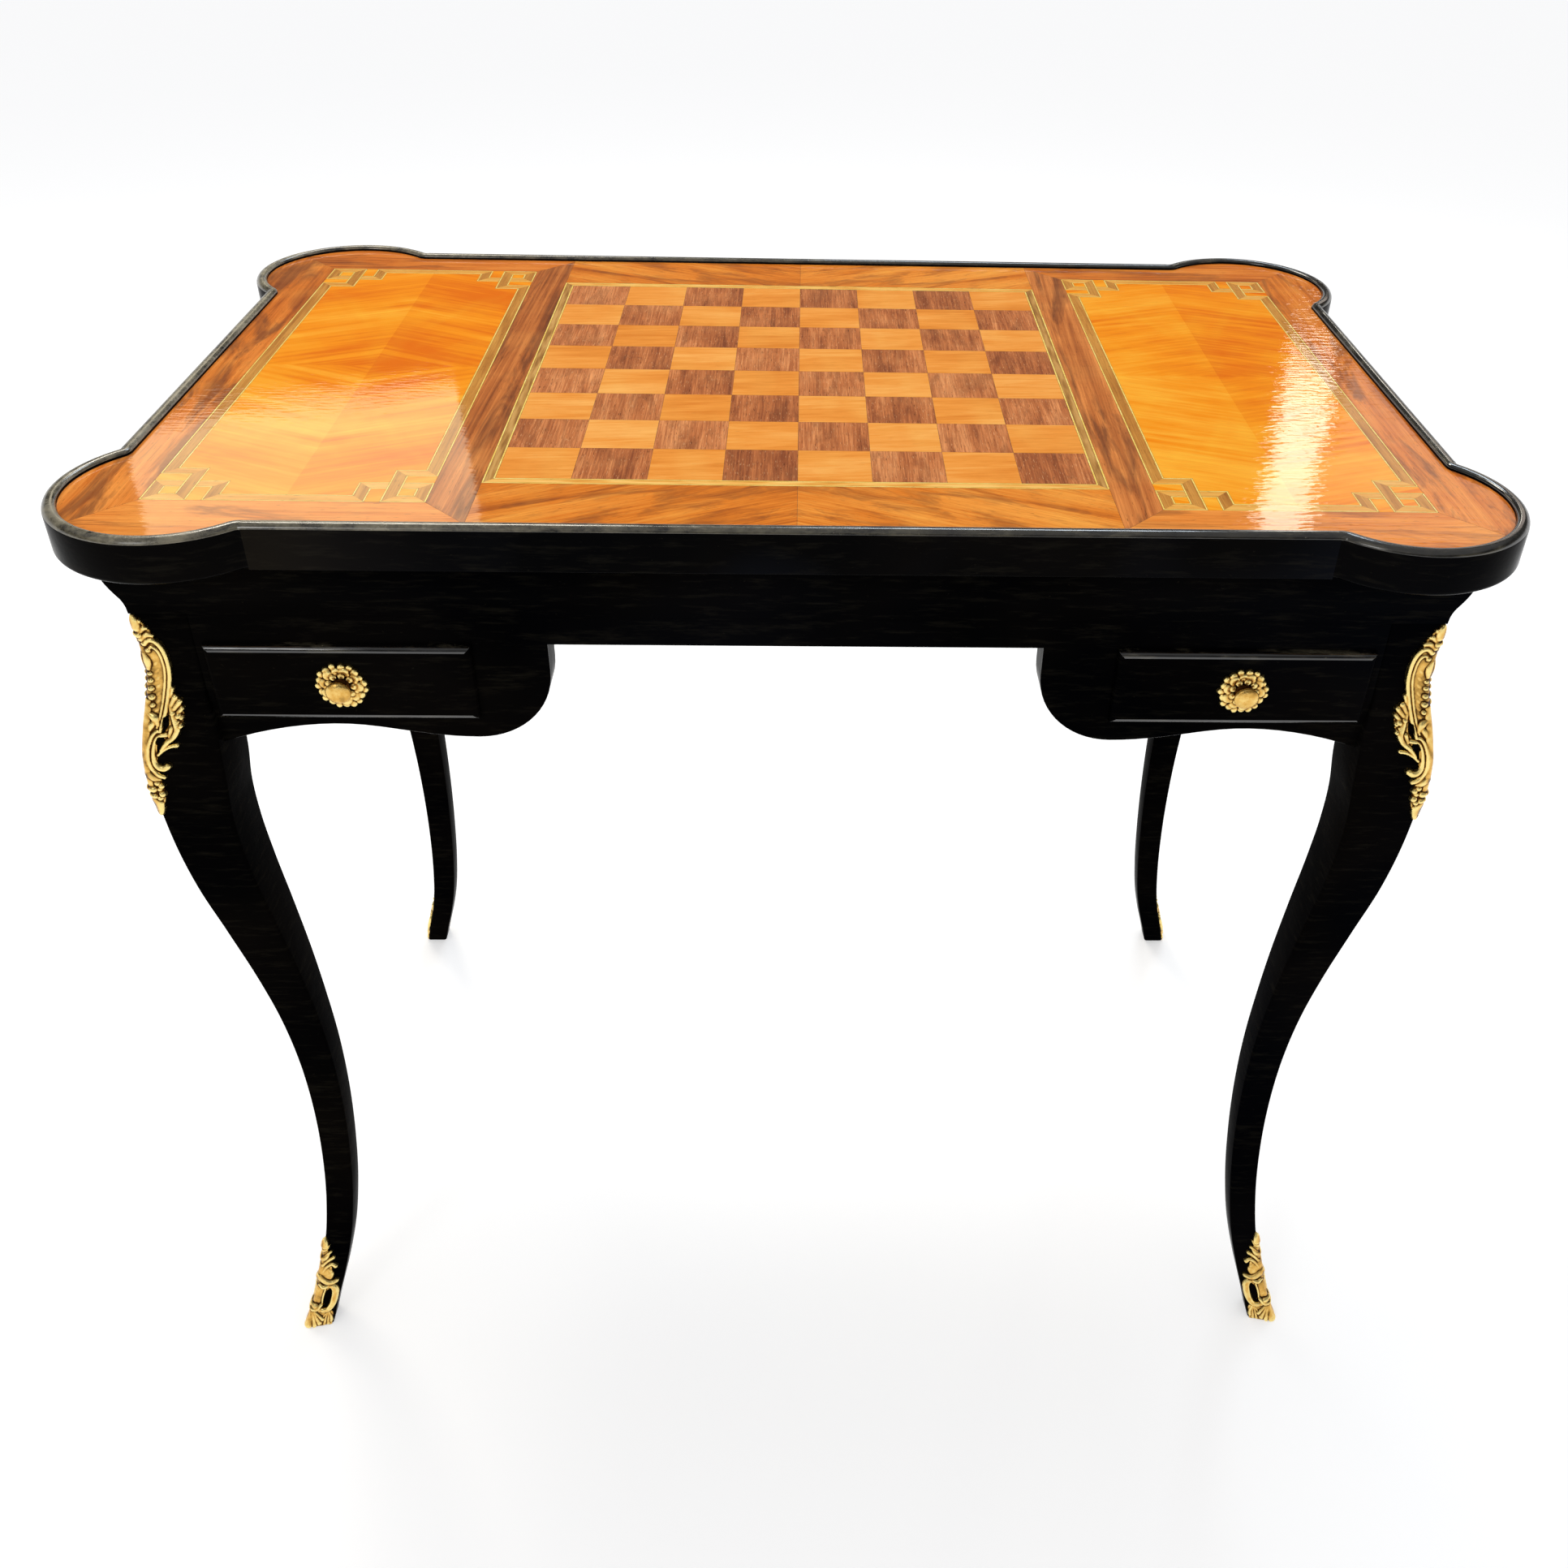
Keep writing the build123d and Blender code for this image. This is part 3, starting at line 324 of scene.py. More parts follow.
def glue_line():
    """Dark glue and wax in the joints between veneers."""
    f = Finish("dark_glue_line")
    specks = f.noise((0.004, 0.004, 0.004), 2.0)
    colour = f.ramp(specks, (0.40, 0.62), (tint(58, 28, 14), tint(112, 66, 30)))
    return f.wire(Base_Color=colour, Roughness=0.5, IOR=1.25)


# Black finishes

# Colours of the painted reflection in the black polish: warm at the left end, blue elsewhere.
painted_reflection_warm = tint(38, 33, 26)
painted_reflection_blue = tint(28, 33, 44)
# Pale of wear; on the burnished edges and the crest it is also a painted highlight.
pale_wear_and_painted_highlight = tint(160, 150, 122)


def smoky_black(f):
    return f.ramp(f.noise((0.16, 0.10, 0.12)), (0.40, 0.62), (tint(2, 2, 3), tint(9, 7, 6)))


def ebonised(name, gloss, wear, painted_reflection=0.0, handled=False):
    """Black polish on pearwood: smoky, with patches of painted reflection that are blue but warm at the left end, and
    pale where it is rubbed; on the burnished edges and the crest that pale is partly a painted highlight.
    """
    f = Finish(name)
    across = f.axes(f.place)[0]
    # Painted reflection laid over the smoky black in soft patches.
    painted_reflection_tint = f.lay(f.spread(across, -0.30, -0.08), painted_reflection_warm, painted_reflection_blue)
    painted_reflection_patches = f.spread(f.noise((0.24, 0.16, 0.30), 2.0), 0.46, 0.66, 0.0, painted_reflection)
    colour = f.lay(painted_reflection_patches, smoky_black(f), painted_reflection_tint)
    rubbed = f.spread(f.noise((0.030, 0.020, 0.004), 5.0, 0.68), 0.52, 0.74)
    chipped = f.spread(f.noise((0.0030, 0.0025, 0.0020), 3.0, 0.6), 0.70, 0.74)
    share = f.spread(f.weigh((rubbed, wear), (chipped, wear)), 0.0, 1.0)
    if handled:
        grip = f.spread(f.noise((0.030, 0.030, 0.012), 6.0, 0.78), 0.38, 0.62)
        share = f.maths("ADD", share, f.maths("MULTIPLY", grip, f.spread(across, -0.38, 0.16, 0.66, 0.06)))
    brushed = f.spread(f.noise((0.05, 0.05, 0.05), 4.0), 0.35, 0.70, 0.09, 0.24)
    waves = f.noise((0.060, 0.030, 0.030), 2.0)
    strokes = f.noise((0.020, 0.0022, 0.0022), 2.0)
    return f.wire(
        Base_Color=f.lay(share, colour, pale_wear_and_painted_highlight),
        Roughness=f.maths("ADD", brushed, f.maths("MULTIPLY", share, 0.25)), IOR=gloss,
        Normal=f.bump(f.weigh((waves, 3.0), (strokes, 0.35)), 0.16 * mm))


# Third number: wear; fourth: share of painted reflection, most on the long rails.
ebonised_wood = ebonised("ebonised_pearwood", 1.03, 0.02, 0.10)
ebonised_leg = ebonised("ebonised_legs", 1.015, 0.02, 0.05)
ebonised_rim = ebonised("ebonised_rim", 1.07, 0.02, 0.05)
ebonised_rail = ebonised("ebonised_rail", 1.07, 0.02, 0.6)
# Edges and faces that look up are paler with wear, and in part with a painted highlight.
ebonised_edge = ebonised("ebonised_burnished_edge", 1.85, 0.25)
rubbed_crest = ebonised("rubbed_crest", 1.85, 0.25, handled=True)


# Gilding, and the woods of the inside

def gilding():
    """Cast brass, chased and gilt: pale on the high parts, a painted highlight, and brown in the hollows, partly
    patina and partly painted shade.
    """
    f = Finish("gilt_brass")
    hollow = f.node("ShaderNodeAttribute", output="Fac", attribute_name="hollow")
    mottle = f.noise((0.006, 0.006, 0.006), 4.0, 0.6)
    level = f.maths("ADD", hollow, f.spread(mottle, 0.3, 0.7, -0.12, 0.12))
    colour = f.ramp(level, (0.16, 0.40, 0.68), (tint(254, 228, 146), tint(226, 176, 88), tint(64, 36, 12)))
    return f.wire(
        Base_Color=colour, Metallic=1.0, Roughness=f.spread(mottle, 0.35, 0.7, 0.22, 0.42),
        Normal=f.bump(f.noise((0.0007, 0.0007, 0.0007), 2.0), 0.12 * mm))


gilt = gilding()
wood_marks = (0.38, 0.50, 0.62)
oak_tones = (tint(116, 78, 42), tint(168, 122, 72), tint(196, 152, 98))
stained_tones = (tint(30, 18, 14), tint(52, 34, 26), tint(74, 50, 38))
green_tones = (tint(24, 54, 32), tint(42, 84, 50), tint(66, 108, 68))
sycamore_tones = (tint(196, 168, 116), tint(222, 200, 152), tint(238, 222, 184))


def plain_wood(name, tones, turn=0.0, roughness=0.5, upright=False):
    """Waxed or stained wood of the inside."""
    f = Finish(name, turn)
    if upright:
        x, y, z = f.axes(f.place)
        f.wood = f.join(z, x, y)
    rings = f.grain(0.35, 0.022, 4.0, 0.6, 0.9)
    lines = f.grain(0.12, 0.0022)
    pores = f.grain(0.010, 0.0006, 1.0)
    colour = f.ramp(f.weigh((rings, 0.55), (lines, 0.45)), wood_marks, tones)
    return f.wire(
        Base_Color=f.lay(f.spread(pores, 0.62, 0.72, 0.0, 0.6), colour, tones[0]), IOR=1.35,
        Roughness=f.spread(lines, 0.3, 0.7, roughness + 0.1, roughness - 0.1),
        Normal=f.bump(f.weigh((lines, 1.0), (pores, -0.5)), 0.12 * mm))


def cheek_wood():
    """Oak inside the drawer case, black polished on the face that looks into the kneehole."""
    f = Finish("oak_cheek_black_outside")
    x, y, z = f.axes(f.place)
    f.wood = f.join(y, x, z)
    inside = f.maths("GREATER_THAN", f.maths("ABSOLUTE", x), kneehole_half + 0.3 * mm)
    oak = f.ramp(f.grain(0.12, 0.0022), wood_marks, oak_tones)
    return f.wire(Base_Color=f.lay(inside, smoky_black(f), oak), Roughness=0.3, IOR=1.06)


# The CAD pieces that stay, and their finishes

def satinwood(side, turn, figure, reach, middle_x):
    return veneer(
        "satinwood_quarters_" + side, satin_tones, math.radians(turn), figure, reach, quarter_matched(middle_x),
        pores=0.10, glow=0.16, fibre=0.12)


carried = {
    "dark_squares": veneer(
        "dark_square_veneer", dark_square_tones, quarter_turn, 0.012, 0.11, square_matched, pores=0.75, glow=0.10,
        smoke=0.35, fibre=0.5, flecks=0.6),
    "light_squares": veneer(
        "light_square_veneer", light_square_tones, math.radians(4), 0.020, 0.10, square_matched, pores=0.15,
        fibre=0.15),
    "board_lines panel_lines": veneer("boxwood_stringing", boxwood_tones, 0.3, 0.010, 0.1),
    "board_band": banding_of_frame(),
    "panel_veneer_left": satinwood("left", -24, 0.034, 0.22, -panel_middle_x),
    "panel_veneer_right": satinwood("right", -20, 0.036, 0.20, panel_middle_x),
    # Fret strips along X take the lighter tones and those along Y the darker: painted light and shade on one banding.
    "fret_bands_cross": veneer("golden_banding", banding_tones_painted_lit, 0.0, 0.008, 0.1),
    "fret_bands_long": veneer("brown_banding", banding_tones_painted_shade, quarter_turn, 0.008, 0.1),
    "side_borders": veneer(
        "rosewood_along_sides", rose_tones, quarter_turn, 0.024, 0.24, lighter_in_front, smoke=0.7, fibre=0.2),
    "end_borders": veneer(
        "rosewood_along_ends", rose_tones, 0.0, 0.018, 0.24, lighter_in_front, smoke=0.5, fibre=0.2),
    "divider_bands": veneer(
        "rosewood_dividers", divider_tones, math.radians(88), 0.016, 0.36, lighter_on_the_right, smoke=0.7,
        fibre=0.2),
    "crossbands": veneer(
        "rosewood_crossbands", cross_tones, math.radians(-24), 0.020, 0.14, book_matched, smoke=0.45, fibre=0.25),
    "top_core locating_cleats drawer_back_left drawer_back_right drawer_bottom_left drawer_bottom_right":
        plain_wood("oak_along_x", oak_tones),
    "drawer_kickers drawer_runners drawer_sides_left drawer_sides_right":
        plain_wood("oak_along_y", oak_tones, quarter_turn),
    "corner_blocks": plain_wood("oak_upright", oak_tones, upright=True),
    "drawer_cheeks": cheek_wood(),
    "well_floor well_lining well_divider": plain_wood("black_stained_ground", stained_tones, quarter_turn, 0.32),
    "dark_points": plain_wood("green_stained_inlay", green_tones, quarter_turn, 0.3),
    "light_points": plain_wood("pale_sycamore_inlay", sycamore_tones, quarter_turn, 0.3),
}
for names, finish in carried.items():
    for name in names.split():
        slots = nodes[name].data.materials
        for index in range(len(slots)):
            slots[index] = finish


# Meshes

def new_piece(name, mesh, finishes, body, node=None):
    """Piece with its finishes that rides on its body, in place of a CAD node if one is named."""
    piece = put_in_scene(name, mesh)
    mesh.materials.clear()
    for finish in finishes:
        mesh.materials.append(finish)
    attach(piece, body)
    if node:
        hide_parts(node)
    return piece


@contextlib.contextmanager
def on_the_bench(mesh):
    """The mesh opened for work on its points, edges and faces, and closed again."""
    work = bmesh.new()
    work.from_mesh(mesh)
    yield work
    work.to_mesh(mesh)
    work.free()


def turn_outwards(mesh):
    with on_the_bench(mesh) as work:
        bmesh.ops.recalc_face_normals(work, faces=work.faces)


def mesh_from(name, points, faces, flip=False):
    mesh = bpy.data.meshes.new(name)
    if flip:
        faces = [tuple(reversed(face)) for face in faces]
    mesh.from_pydata([tuple(point) for point in points], [], faces)
    mesh.update()
    mesh.shade_smooth()
    return mesh


def rings_joined(levels, around):
    """Faces between rings of points, each ring joined to the next."""
    return [
        (level * around + side, level * around + (side + 1) % around,
         (level + 1) * around + (side + 1) % around, (level + 1) * around + side)
        for level in range(levels - 1) for side in range(around)]


def closed_rings(levels, around):
    """The same faces, with one more over each end."""
    last = (levels - 1) * around
    return rings_joined(levels, around) + [tuple(range(around - 1, -1, -1)), tuple(range(last, last + around))]


def arc(centre, radius, start, end, steps):
    angles = [start + (end - start) * step / steps for step in range(steps + 1)]
    return [(centre[0] + radius * math.cos(angle), centre[1] + radius * math.sin(angle)) for angle in angles]


def keep_arrises(mesh, degrees=32.0):
    mesh.shade_smooth()
    mesh.set_sharp_from_angle(angle=math.radians(degrees))


def burnish(mesh, lower_arris=True):
    """Faces that look up, and those of the eased lower arris, take the second finish."""
    for face in mesh.polygons:
        looks_down = -0.9 < face.normal.z < -0.2
        face.material_index = int(face.normal.z > 0.15 or (lower_arris and looks_down))


def weigh_arrises(mesh, joints_sharp):
    """Arrises that are eased; long upright ones stay sharp where the piece meets a leg."""
    shortest_joint = 20 * mm
    sharp_turn = math.radians(35)
    with on_the_bench(mesh) as work:
        weights = work.edges.layers.float.new("bevel_weight_edge")
        for edge in work.edges:
            run = edge.verts[1].co - edge.verts[0].co
            joint = joints_sharp and run.length > shortest_joint and abs(run.z) > 0.98 * run.length
            turned = edge.is_manifold and edge.calc_face_angle() > sharp_turn
            edge[weights] = 1.0 if turned and not joint else 0.0


def eased(name, node, body, width, joints_sharp=False):
    """Copy of a black CAD piece with its arrises rounded over by hand."""
    mesh = nodes[node].data.copy()
    mesh.name = name
    with on_the_bench(mesh) as work:
        bmesh.ops.remove_doubles(work, verts=work.verts, dist=same_place)
        bmesh.ops.dissolve_limit(work, angle_limit=math.radians(0.5), verts=work.verts, edges=work.edges)
    keep_arrises(mesh)
    piece = new_piece(name, mesh, [ebonised_wood, ebonised_edge], body, node)
    burnish(mesh)
    weigh_arrises(mesh, joints_sharp)
    bevel = piece.modifiers.new("eased_arris", "BEVEL")
    settle(bevel, width=width, segments=3, limit_method="WEIGHT", material=1, harden_normals=True)


# Geometry Nodes

class Steps(Wires):
    """A Geometry Nodes tree with named inputs, run once and turned into a plain mesh."""

    def __init__(self, name, inputs):
        super().__init__(bpy.data.node_groups.new(name, "GeometryNodeTree"))
        for way in ("INPUT", "OUTPUT"):
            self.tree.interface.new_socket("Geometry", in_out=way, socket_type="NodeSocketGeometry")
        for label, kind in inputs.items():
            self.tree.interface.new_socket(label, in_out="INPUT", socket_type="NodeSocket" + kind)
        self.start = self.tree.nodes.new("NodeGroupInput")
        self.end = self.tree.nodes.new("NodeGroupOutput")

    def given(self, label):
        return self.start.outputs[label]

    def sweep(self, path, profile):
        """The profile swept along the path, ending in real geometry with its finish."""
        swept = self.node("GeometryNodeCurveToMesh", {"Curve": path, "Profile Curve": profile, "Fill Caps": True})
        real = self.node("GeometryNodeRealizeInstances", {"Geometry": swept})
        done = self.node("GeometryNodeSetMaterial", {"Geometry": real, "Material": self.given("Finish")})
        self.feed(self.end.inputs[0], done)

    def run(self, path, values):
        """The tree run on a path; the plain mesh that comes out."""
        holder = put_in_scene("holder", path)
        steps = holder.modifiers.new("steps", "NODES")
        steps.node_group = self.tree
        for item in self.tree.interface.items_tree:
            if item.in_out == "INPUT" and item.name in values:
                steps[item.identifier] = values[item.name]
        graph = bpy.context.evaluated_depsgraph_get()
        made = bpy.data.meshes.new_from_object(holder.evaluated_get(graph))
        holder.modifiers.clear()
        bpy.data.objects.remove(holder)
        with on_the_bench(made) as work:
            bmesh.ops.remove_doubles(work, verts=work.verts, dist=0.2 * same_place)
            bmesh.ops.recalc_face_normals(work, faces=work.faces)
        return made


def band_tree():
    """Edge band swept along the outline of the top: rounded crest outside, eased lip inside."""
    s = Steps("rim_band", {
        "Band Width": "Float", "Band Height": "Float", "Crest Round": "Float", "Lip Round": "Float",
        "Foot Round": "Float", "Finish": "Material"})
    width = s.given("Band Width")
    path = s.node("GeometryNodeMeshToCurve", {"Mesh": s.given("Geometry")})
    path = s.node("GeometryNodeSetCurveNormal", {"Curve": path}, mode="Z_UP")
    profile = s.node("GeometryNodeCurvePrimitiveQuadrilateral", {"Width": width, "Height": s.given("Band Height")})
    inward = s.join(s.maths("MULTIPLY", width, -0.5))
    profile = s.node("GeometryNodeTransform", {"Geometry": profile, "Translation": inward})
    index = s.node("GeometryNodeInputIndex")
    radius = s.given("Foot Round")
    for corner, rounding in ((2, "Lip Round"), (3, "Crest Round")):
        here = s.node("FunctionNodeCompare", {2: index, 3: corner}, data_type="INT", operation="EQUAL")
        radius = s.node("GeometryNodeSwitch", {
            "Switch": here, "False": radius, "True": s.given(rounding)}, input_type="FLOAT")
    s.sweep(path, s.node("GeometryNodeFilletCurve", {
        "Curve": profile, "Count": 6, "Radius": radius, "Limit Radius": True}, mode="POLY"))
    return s


def line_tree():
    """Fine round line laid along every edge it is given."""
    s = Steps("inlaid_lines", {"Line Radius": "Float", "Line Sides": "Int", "Finish": "Material"})
    s.sweep(s.node("GeometryNodeMeshToCurve", {"Mesh": s.given("Geometry")}), s.node(
        "GeometryNodeCurvePrimitiveCircle", {"Resolution": s.given("Line Sides"), "Radius": s.given("Line Radius")}))
    return s


def chain_mesh(name, chains):
    """Open chains of points, as edges alone."""
    points, edges = [], []
    for chain in chains:
        start = len(points)
        points.extend(chain)
        edges.extend((start + index, start + index + 1) for index in range(len(chain) - 1))
    mesh = bpy.data.meshes.new(name)
    mesh.from_pydata(points, edges, [])
    return mesh


# The rim: four ears and four rails

ear_steps = 72
hollow_steps = 12
lip_round = 2.8 * mm
joint_x = half_length - ear_joint_inset
joint_y = half_depth - ear_joint_inset


def ear_outline(height):
    """Outer edge of the ear at the back right corner, from joint to joint, anticlockwise."""
    centre = (half_length - ear_inset, half_depth - ear_inset)
    run = math.sqrt((ear_radius + notch_round) ** 2 - (ear_inset + notch_round) ** 2)
    side_hollow = (half_length + notch_round, centre[1] - run)
    end_hollow = (centre[0] - run, half_depth + notch_round)
    side_turn, end_turn = (math.atan2(y - centre[1], x - centre[0]) for x, y in (side_hollow, end_hollow))
    points = [
        (half_length, joint_y), (half_length, (joint_y + side_hollow[1]) / 2),
        *arc(side_hollow, notch_round, math.pi, math.pi + side_turn, hollow_steps),
        *arc(centre, ear_radius, side_turn, end_turn, ear_steps)[1:-1],
        *arc(end_hollow, notch_round, end_turn - math.pi, -math.pi / 2, hollow_steps),
        ((joint_x + end_hollow[0]) / 2, half_depth), (joint_x, half_depth)]
    return [(x, y, height) for x, y in points]


def rim():
    band = band_tree()
    middle = case_top + band_height / 2
    ear = ear_outline(middle)
    ears = []
    for x_side, y_side in ((1, 1), (-1, 1), (-1, -1), (1, -1)):
        chain = [(x * x_side, y * y_side, z) for x, y, z in ear]
        ears.append(chain if x_side * y_side > 0 else chain[::-1])
    end_x, end_y = joint_x - rail_gap, joint_y - rail_gap
    long_rails, short_rails = (
        [[(x_from * way, y_from * way, middle), (x_to * way, y_to * way, middle)] for way in (1, -1)]
        for x_from, y_from, x_to, y_to in (
            (-end_x, -half_depth, end_x, -half_depth), (half_length, -end_y, half_length, end_y)))
    for name, node, chains, crest, foot, finish in (
            ("rim_ears", "top_ears", ears, 4.4 * mm, 3.4 * mm, ebonised_rim),
            ("rim_rails_long", "top_rails_long", long_rails, 4.0 * mm, 1.0 * mm, ebonised_rail),
            ("rim_rails_short", "top_rails_short", short_rails, 4.0 * mm, 1.0 * mm, ebonised_rim)):
        mesh = band.run(chain_mesh(name + "_path", chains), {
            "Band Width": band_width, "Band Height": band_height, "Crest Round": crest,
            "Lip Round": lip_round, "Foot Round": foot, "Finish": finish})
        mesh.name = name
        keep_arrises(mesh, 40)
        new_piece(name, mesh, [finish, rubbed_crest], "top", node)
        burnish(mesh, lower_arris=False)


rim()


# Glue lines round every veneer

line_depth = 0.07 * mm
line_radius = 0.12 * mm


def veneer_edges(names):
    """Edges of the veneers' faces on the top, each once."""
    chains = {}
    for name in names:
        work = bmesh.new()
        work.from_mesh(nodes[name].data)
        bmesh.ops.remove_doubles(work, verts=work.verts, dist=same_place)
        for edge in work.edges:
            ends = [vertex.co for vertex in edge.verts]
            level = all(abs(end.z - surface) < 5 * same_place for end in ends)
            if level and any(abs(face.normal.z) < 0.5 for face in edge.link_faces):
                key = tuple(sorted((round(end.x, 5), round(end.y, 5)) for end in ends))
                chains[key] = [(x, y, surface - line_depth) for x, y in key]
        work.free()
    return [chains[key] for key in sorted(chains)]


def glue_lines():
    names = [
        "dark_squares", "light_squares", "board_lines", "panel_lines", "side_borders", "end_borders",
        "divider_bands", "crossbands"]
    finish = glue_line()
    mesh = line_tree().run(chain_mesh("veneer_joints", veneer_edges(names)), {
        "Line Radius": line_radius, "Line Sides": 5, "Finish": finish})
    new_piece("veneer_glue_lines", mesh, [finish], "top")


glue_lines()


# Legs

def through(column, heights):
    """Smooth curve through a column of the leg's stations, read at some heights."""
    heights = np.asarray(heights, dtype=float)
    marks, values = (np.array([station[part] for station in reversed(leg_stations)]) for part in (0, column))
    marks = marks * case_top
    slopes = np.gradient(values, marks)
    slopes[-1] = 0.0
    place = np.clip(np.searchsorted(marks, heights, side="right") - 1, 0, len(marks) - 2)
    run = marks[place + 1] - marks[place]
    t = np.clip((heights - marks[place]) / run, 0.0, 1.0)
    low, high = values[place], values[place + 1]
    curve = (2 * t**3 - 3 * t**2 + 1) * low + (t**3 - 2 * t**2 + t) * run * slopes[place]
    return curve + (3 * t**2 - 2 * t**3) * high + (t**3 - t**2) * run * slopes[place + 1]


def sway(heights):
    return through(1, heights) * leg_sway


def leg_width(heights):
    return through(2, heights) * post_size


def leg_mesh(name, x_side, y_side):
    """Cabriole leg and its post: squared sections with softened corners."""
    post_foot = leg_stations[0][0] * case_top
    levels, corner_steps, end_ease = 132, 5, 0.5 * mm
    heights = np.concatenate([
        [0.0, 0.6 * mm], np.linspace(3 * mm, post_foot, levels), [case_top - 0.4 * mm, case_top]])
    points = []
    for height, stand, width in zip(heights, sway(heights), leg_width(heights)):
        shrink = end_ease if height in (heights[0], heights[-1]) else 0.0
        low_x, low_y = (-half - stand + shrink for half in (case_half_x, case_half_y))
        high_x, high_y = (low + width - 2 * shrink for low in (low_x, low_y))
        for corner, (x, y, x_in, y_in, radius) in enumerate((
                (low_x, low_y, 1, 1, leg_arris), (high_x, low_y, -1, 1, 2.2 * mm),
                (high_x, high_y, -1, -1, 2.4 * mm), (low_x, high_y, 1, -1, 2.2 * mm))):
            start = math.pi + corner * math.pi / 2
            middle = (x + x_in * radius, y + y_in * radius)
            for x_round, y_round in arc(middle, radius, start, start + math.pi / 2, corner_steps):
                points.append((x_round * x_side, y_round * y_side, height))
    return mesh_from(name, points, closed_rings(len(heights), 4 * (corner_steps + 1)), x_side * y_side < 0)


corners = {"front_left": (1, 1), "front_right": (-1, 1), "back_left": (1, -1), "back_right": (-1, -1)}
for corner, sides in corners.items():
    name = "cabriole_leg_" + corner
    leg = leg_mesh(name, *sides)
    keep_arrises(leg, 50)
    new_piece(name, leg, [ebonised_leg], "case", "leg_" + corner)


# Black case pieces and drawer fronts

# Down the frieze moulding: how far it stands off the case, and its height
moulding_profile = [
    (0.0, 676.5), (1.4, 676.5), (1.5, 678.0), (1.7, 681.0), (2.2, 684.0), (3.0, 687.0), (4.1, 690.0), (5.2, 693.0),
    (6.2, 696.0), (7.0, 698.6), (7.6, 700.8), (7.9, 702.6), (8.0, 704.5), (8.0, 716.2), (7.7, 716.5), (0.0, 716.5),
]


def moulding_mesh(name, turn, run, wall):
    """One mitred length of the frieze moulding, run along one side of the case and turned to it."""
    points = []
    for end in (-1, 1):
        for stand, height in moulding_profile:
            x, y = end * (run + stand * mm - mitre_gap), -wall - stand * mm
            points.append((
                x * math.cos(turn) - y * math.sin(turn), x * math.sin(turn) + y * math.cos(turn), height * mm))
    mesh = mesh_from(name, points, closed_rings(2, len(moulding_profile)))
    turn_outwards(mesh)
    keep_arrises(mesh, 40)
    return mesh


for side, quarters, run, wall in (
        ("front", 0, case_half_x, case_half_y), ("back", 2, case_half_x, case_half_y),
        ("left", 3, case_half_y, case_half_x), ("right", 1, case_half_y, case_half_x)):
    eased(side + "_apron_polished", side + "_apron", "case", width=0.7 * mm, joints_sharp=True)
    name = side + "_moulding_polished"
    mesh = moulding_mesh(name, quarters * quarter_turn, run, wall)
    new_piece(name, mesh, [ebonised_wood], "case", "frieze_moulding_" + side)
for side in ("left", "right"):
    eased("drawer_face_" + side, "drawer_front_" + side, "drawer_" + side, width=0.6 * mm)


# Chased gilt mounts: ridges drawn down the mount, raised and wrapped round the leg's corner

def smooth_line(points, pieces=7):
    """Curve through given points."""
    points = np.array(points, dtype=float)
    if len(points) == 1:
        return np.vstack([points, points])
    padded = np.vstack([2 * points[0] - points[1], points, 2 * points[-1] - points[-2]])
    line = []
    for index in range(1, len(padded) - 2):
        a, b, c, d = padded[index - 1:index + 3]
        for step in range(pieces):
            t = step / pieces
            line.append(0.5 * (
                2 * b + (c - a) * t + (2 * a - 5 * b + 4 * c - d) * t**2 + (3 * b - a - 3 * c + d) * t**3))
    line.append(points[-1])
    return np.array(line)


uncovered = -4.0
softened = 1.1
level_ground, full_depth = 0.42, 0.9


def ridge(u, v, points, radii, fullness, lift):
    """Cover and height of one tapered ridge over a grid of places."""
    line = smooth_line([(*point, radius) for point, radius in zip(points, radii)])
    cover = np.full(u.shape, uncovered)
    height = np.zeros(u.shape)
    for start, end in zip(line[:-1], line[1:]):
        widest = max(start[2], end[2]) * 2.2
        near = (
            (u > min(start[0], end[0]) - widest) & (u < max(start[0], end[0]) + widest)
            & (v > min(start[1], end[1]) - widest) & (v < max(start[1], end[1]) + widest))
        if not near.any():
            continue
        run = end[:2] - start[:2]
        length = max(float(run @ run), 1e-9)
        du, dv = u[near] - start[0], v[near] - start[1]
        t = np.clip((du * run[0] + dv * run[1]) / length, 0.0, 1.0)
        radius = start[2] + t * (end[2] - start[2])
        inside = 1 - ((du - t * run[0]) ** 2 + (dv - t * run[1]) ** 2) / radius**2
        swell = np.sqrt(np.clip(inside, 0.0, 1.0))
        cover[near] = np.maximum(cover[near], inside)
        height[near] = np.maximum(height[near], fullness * radius * swell + lift * np.minimum(1.0, 1.6 * swell))
    return cover, height


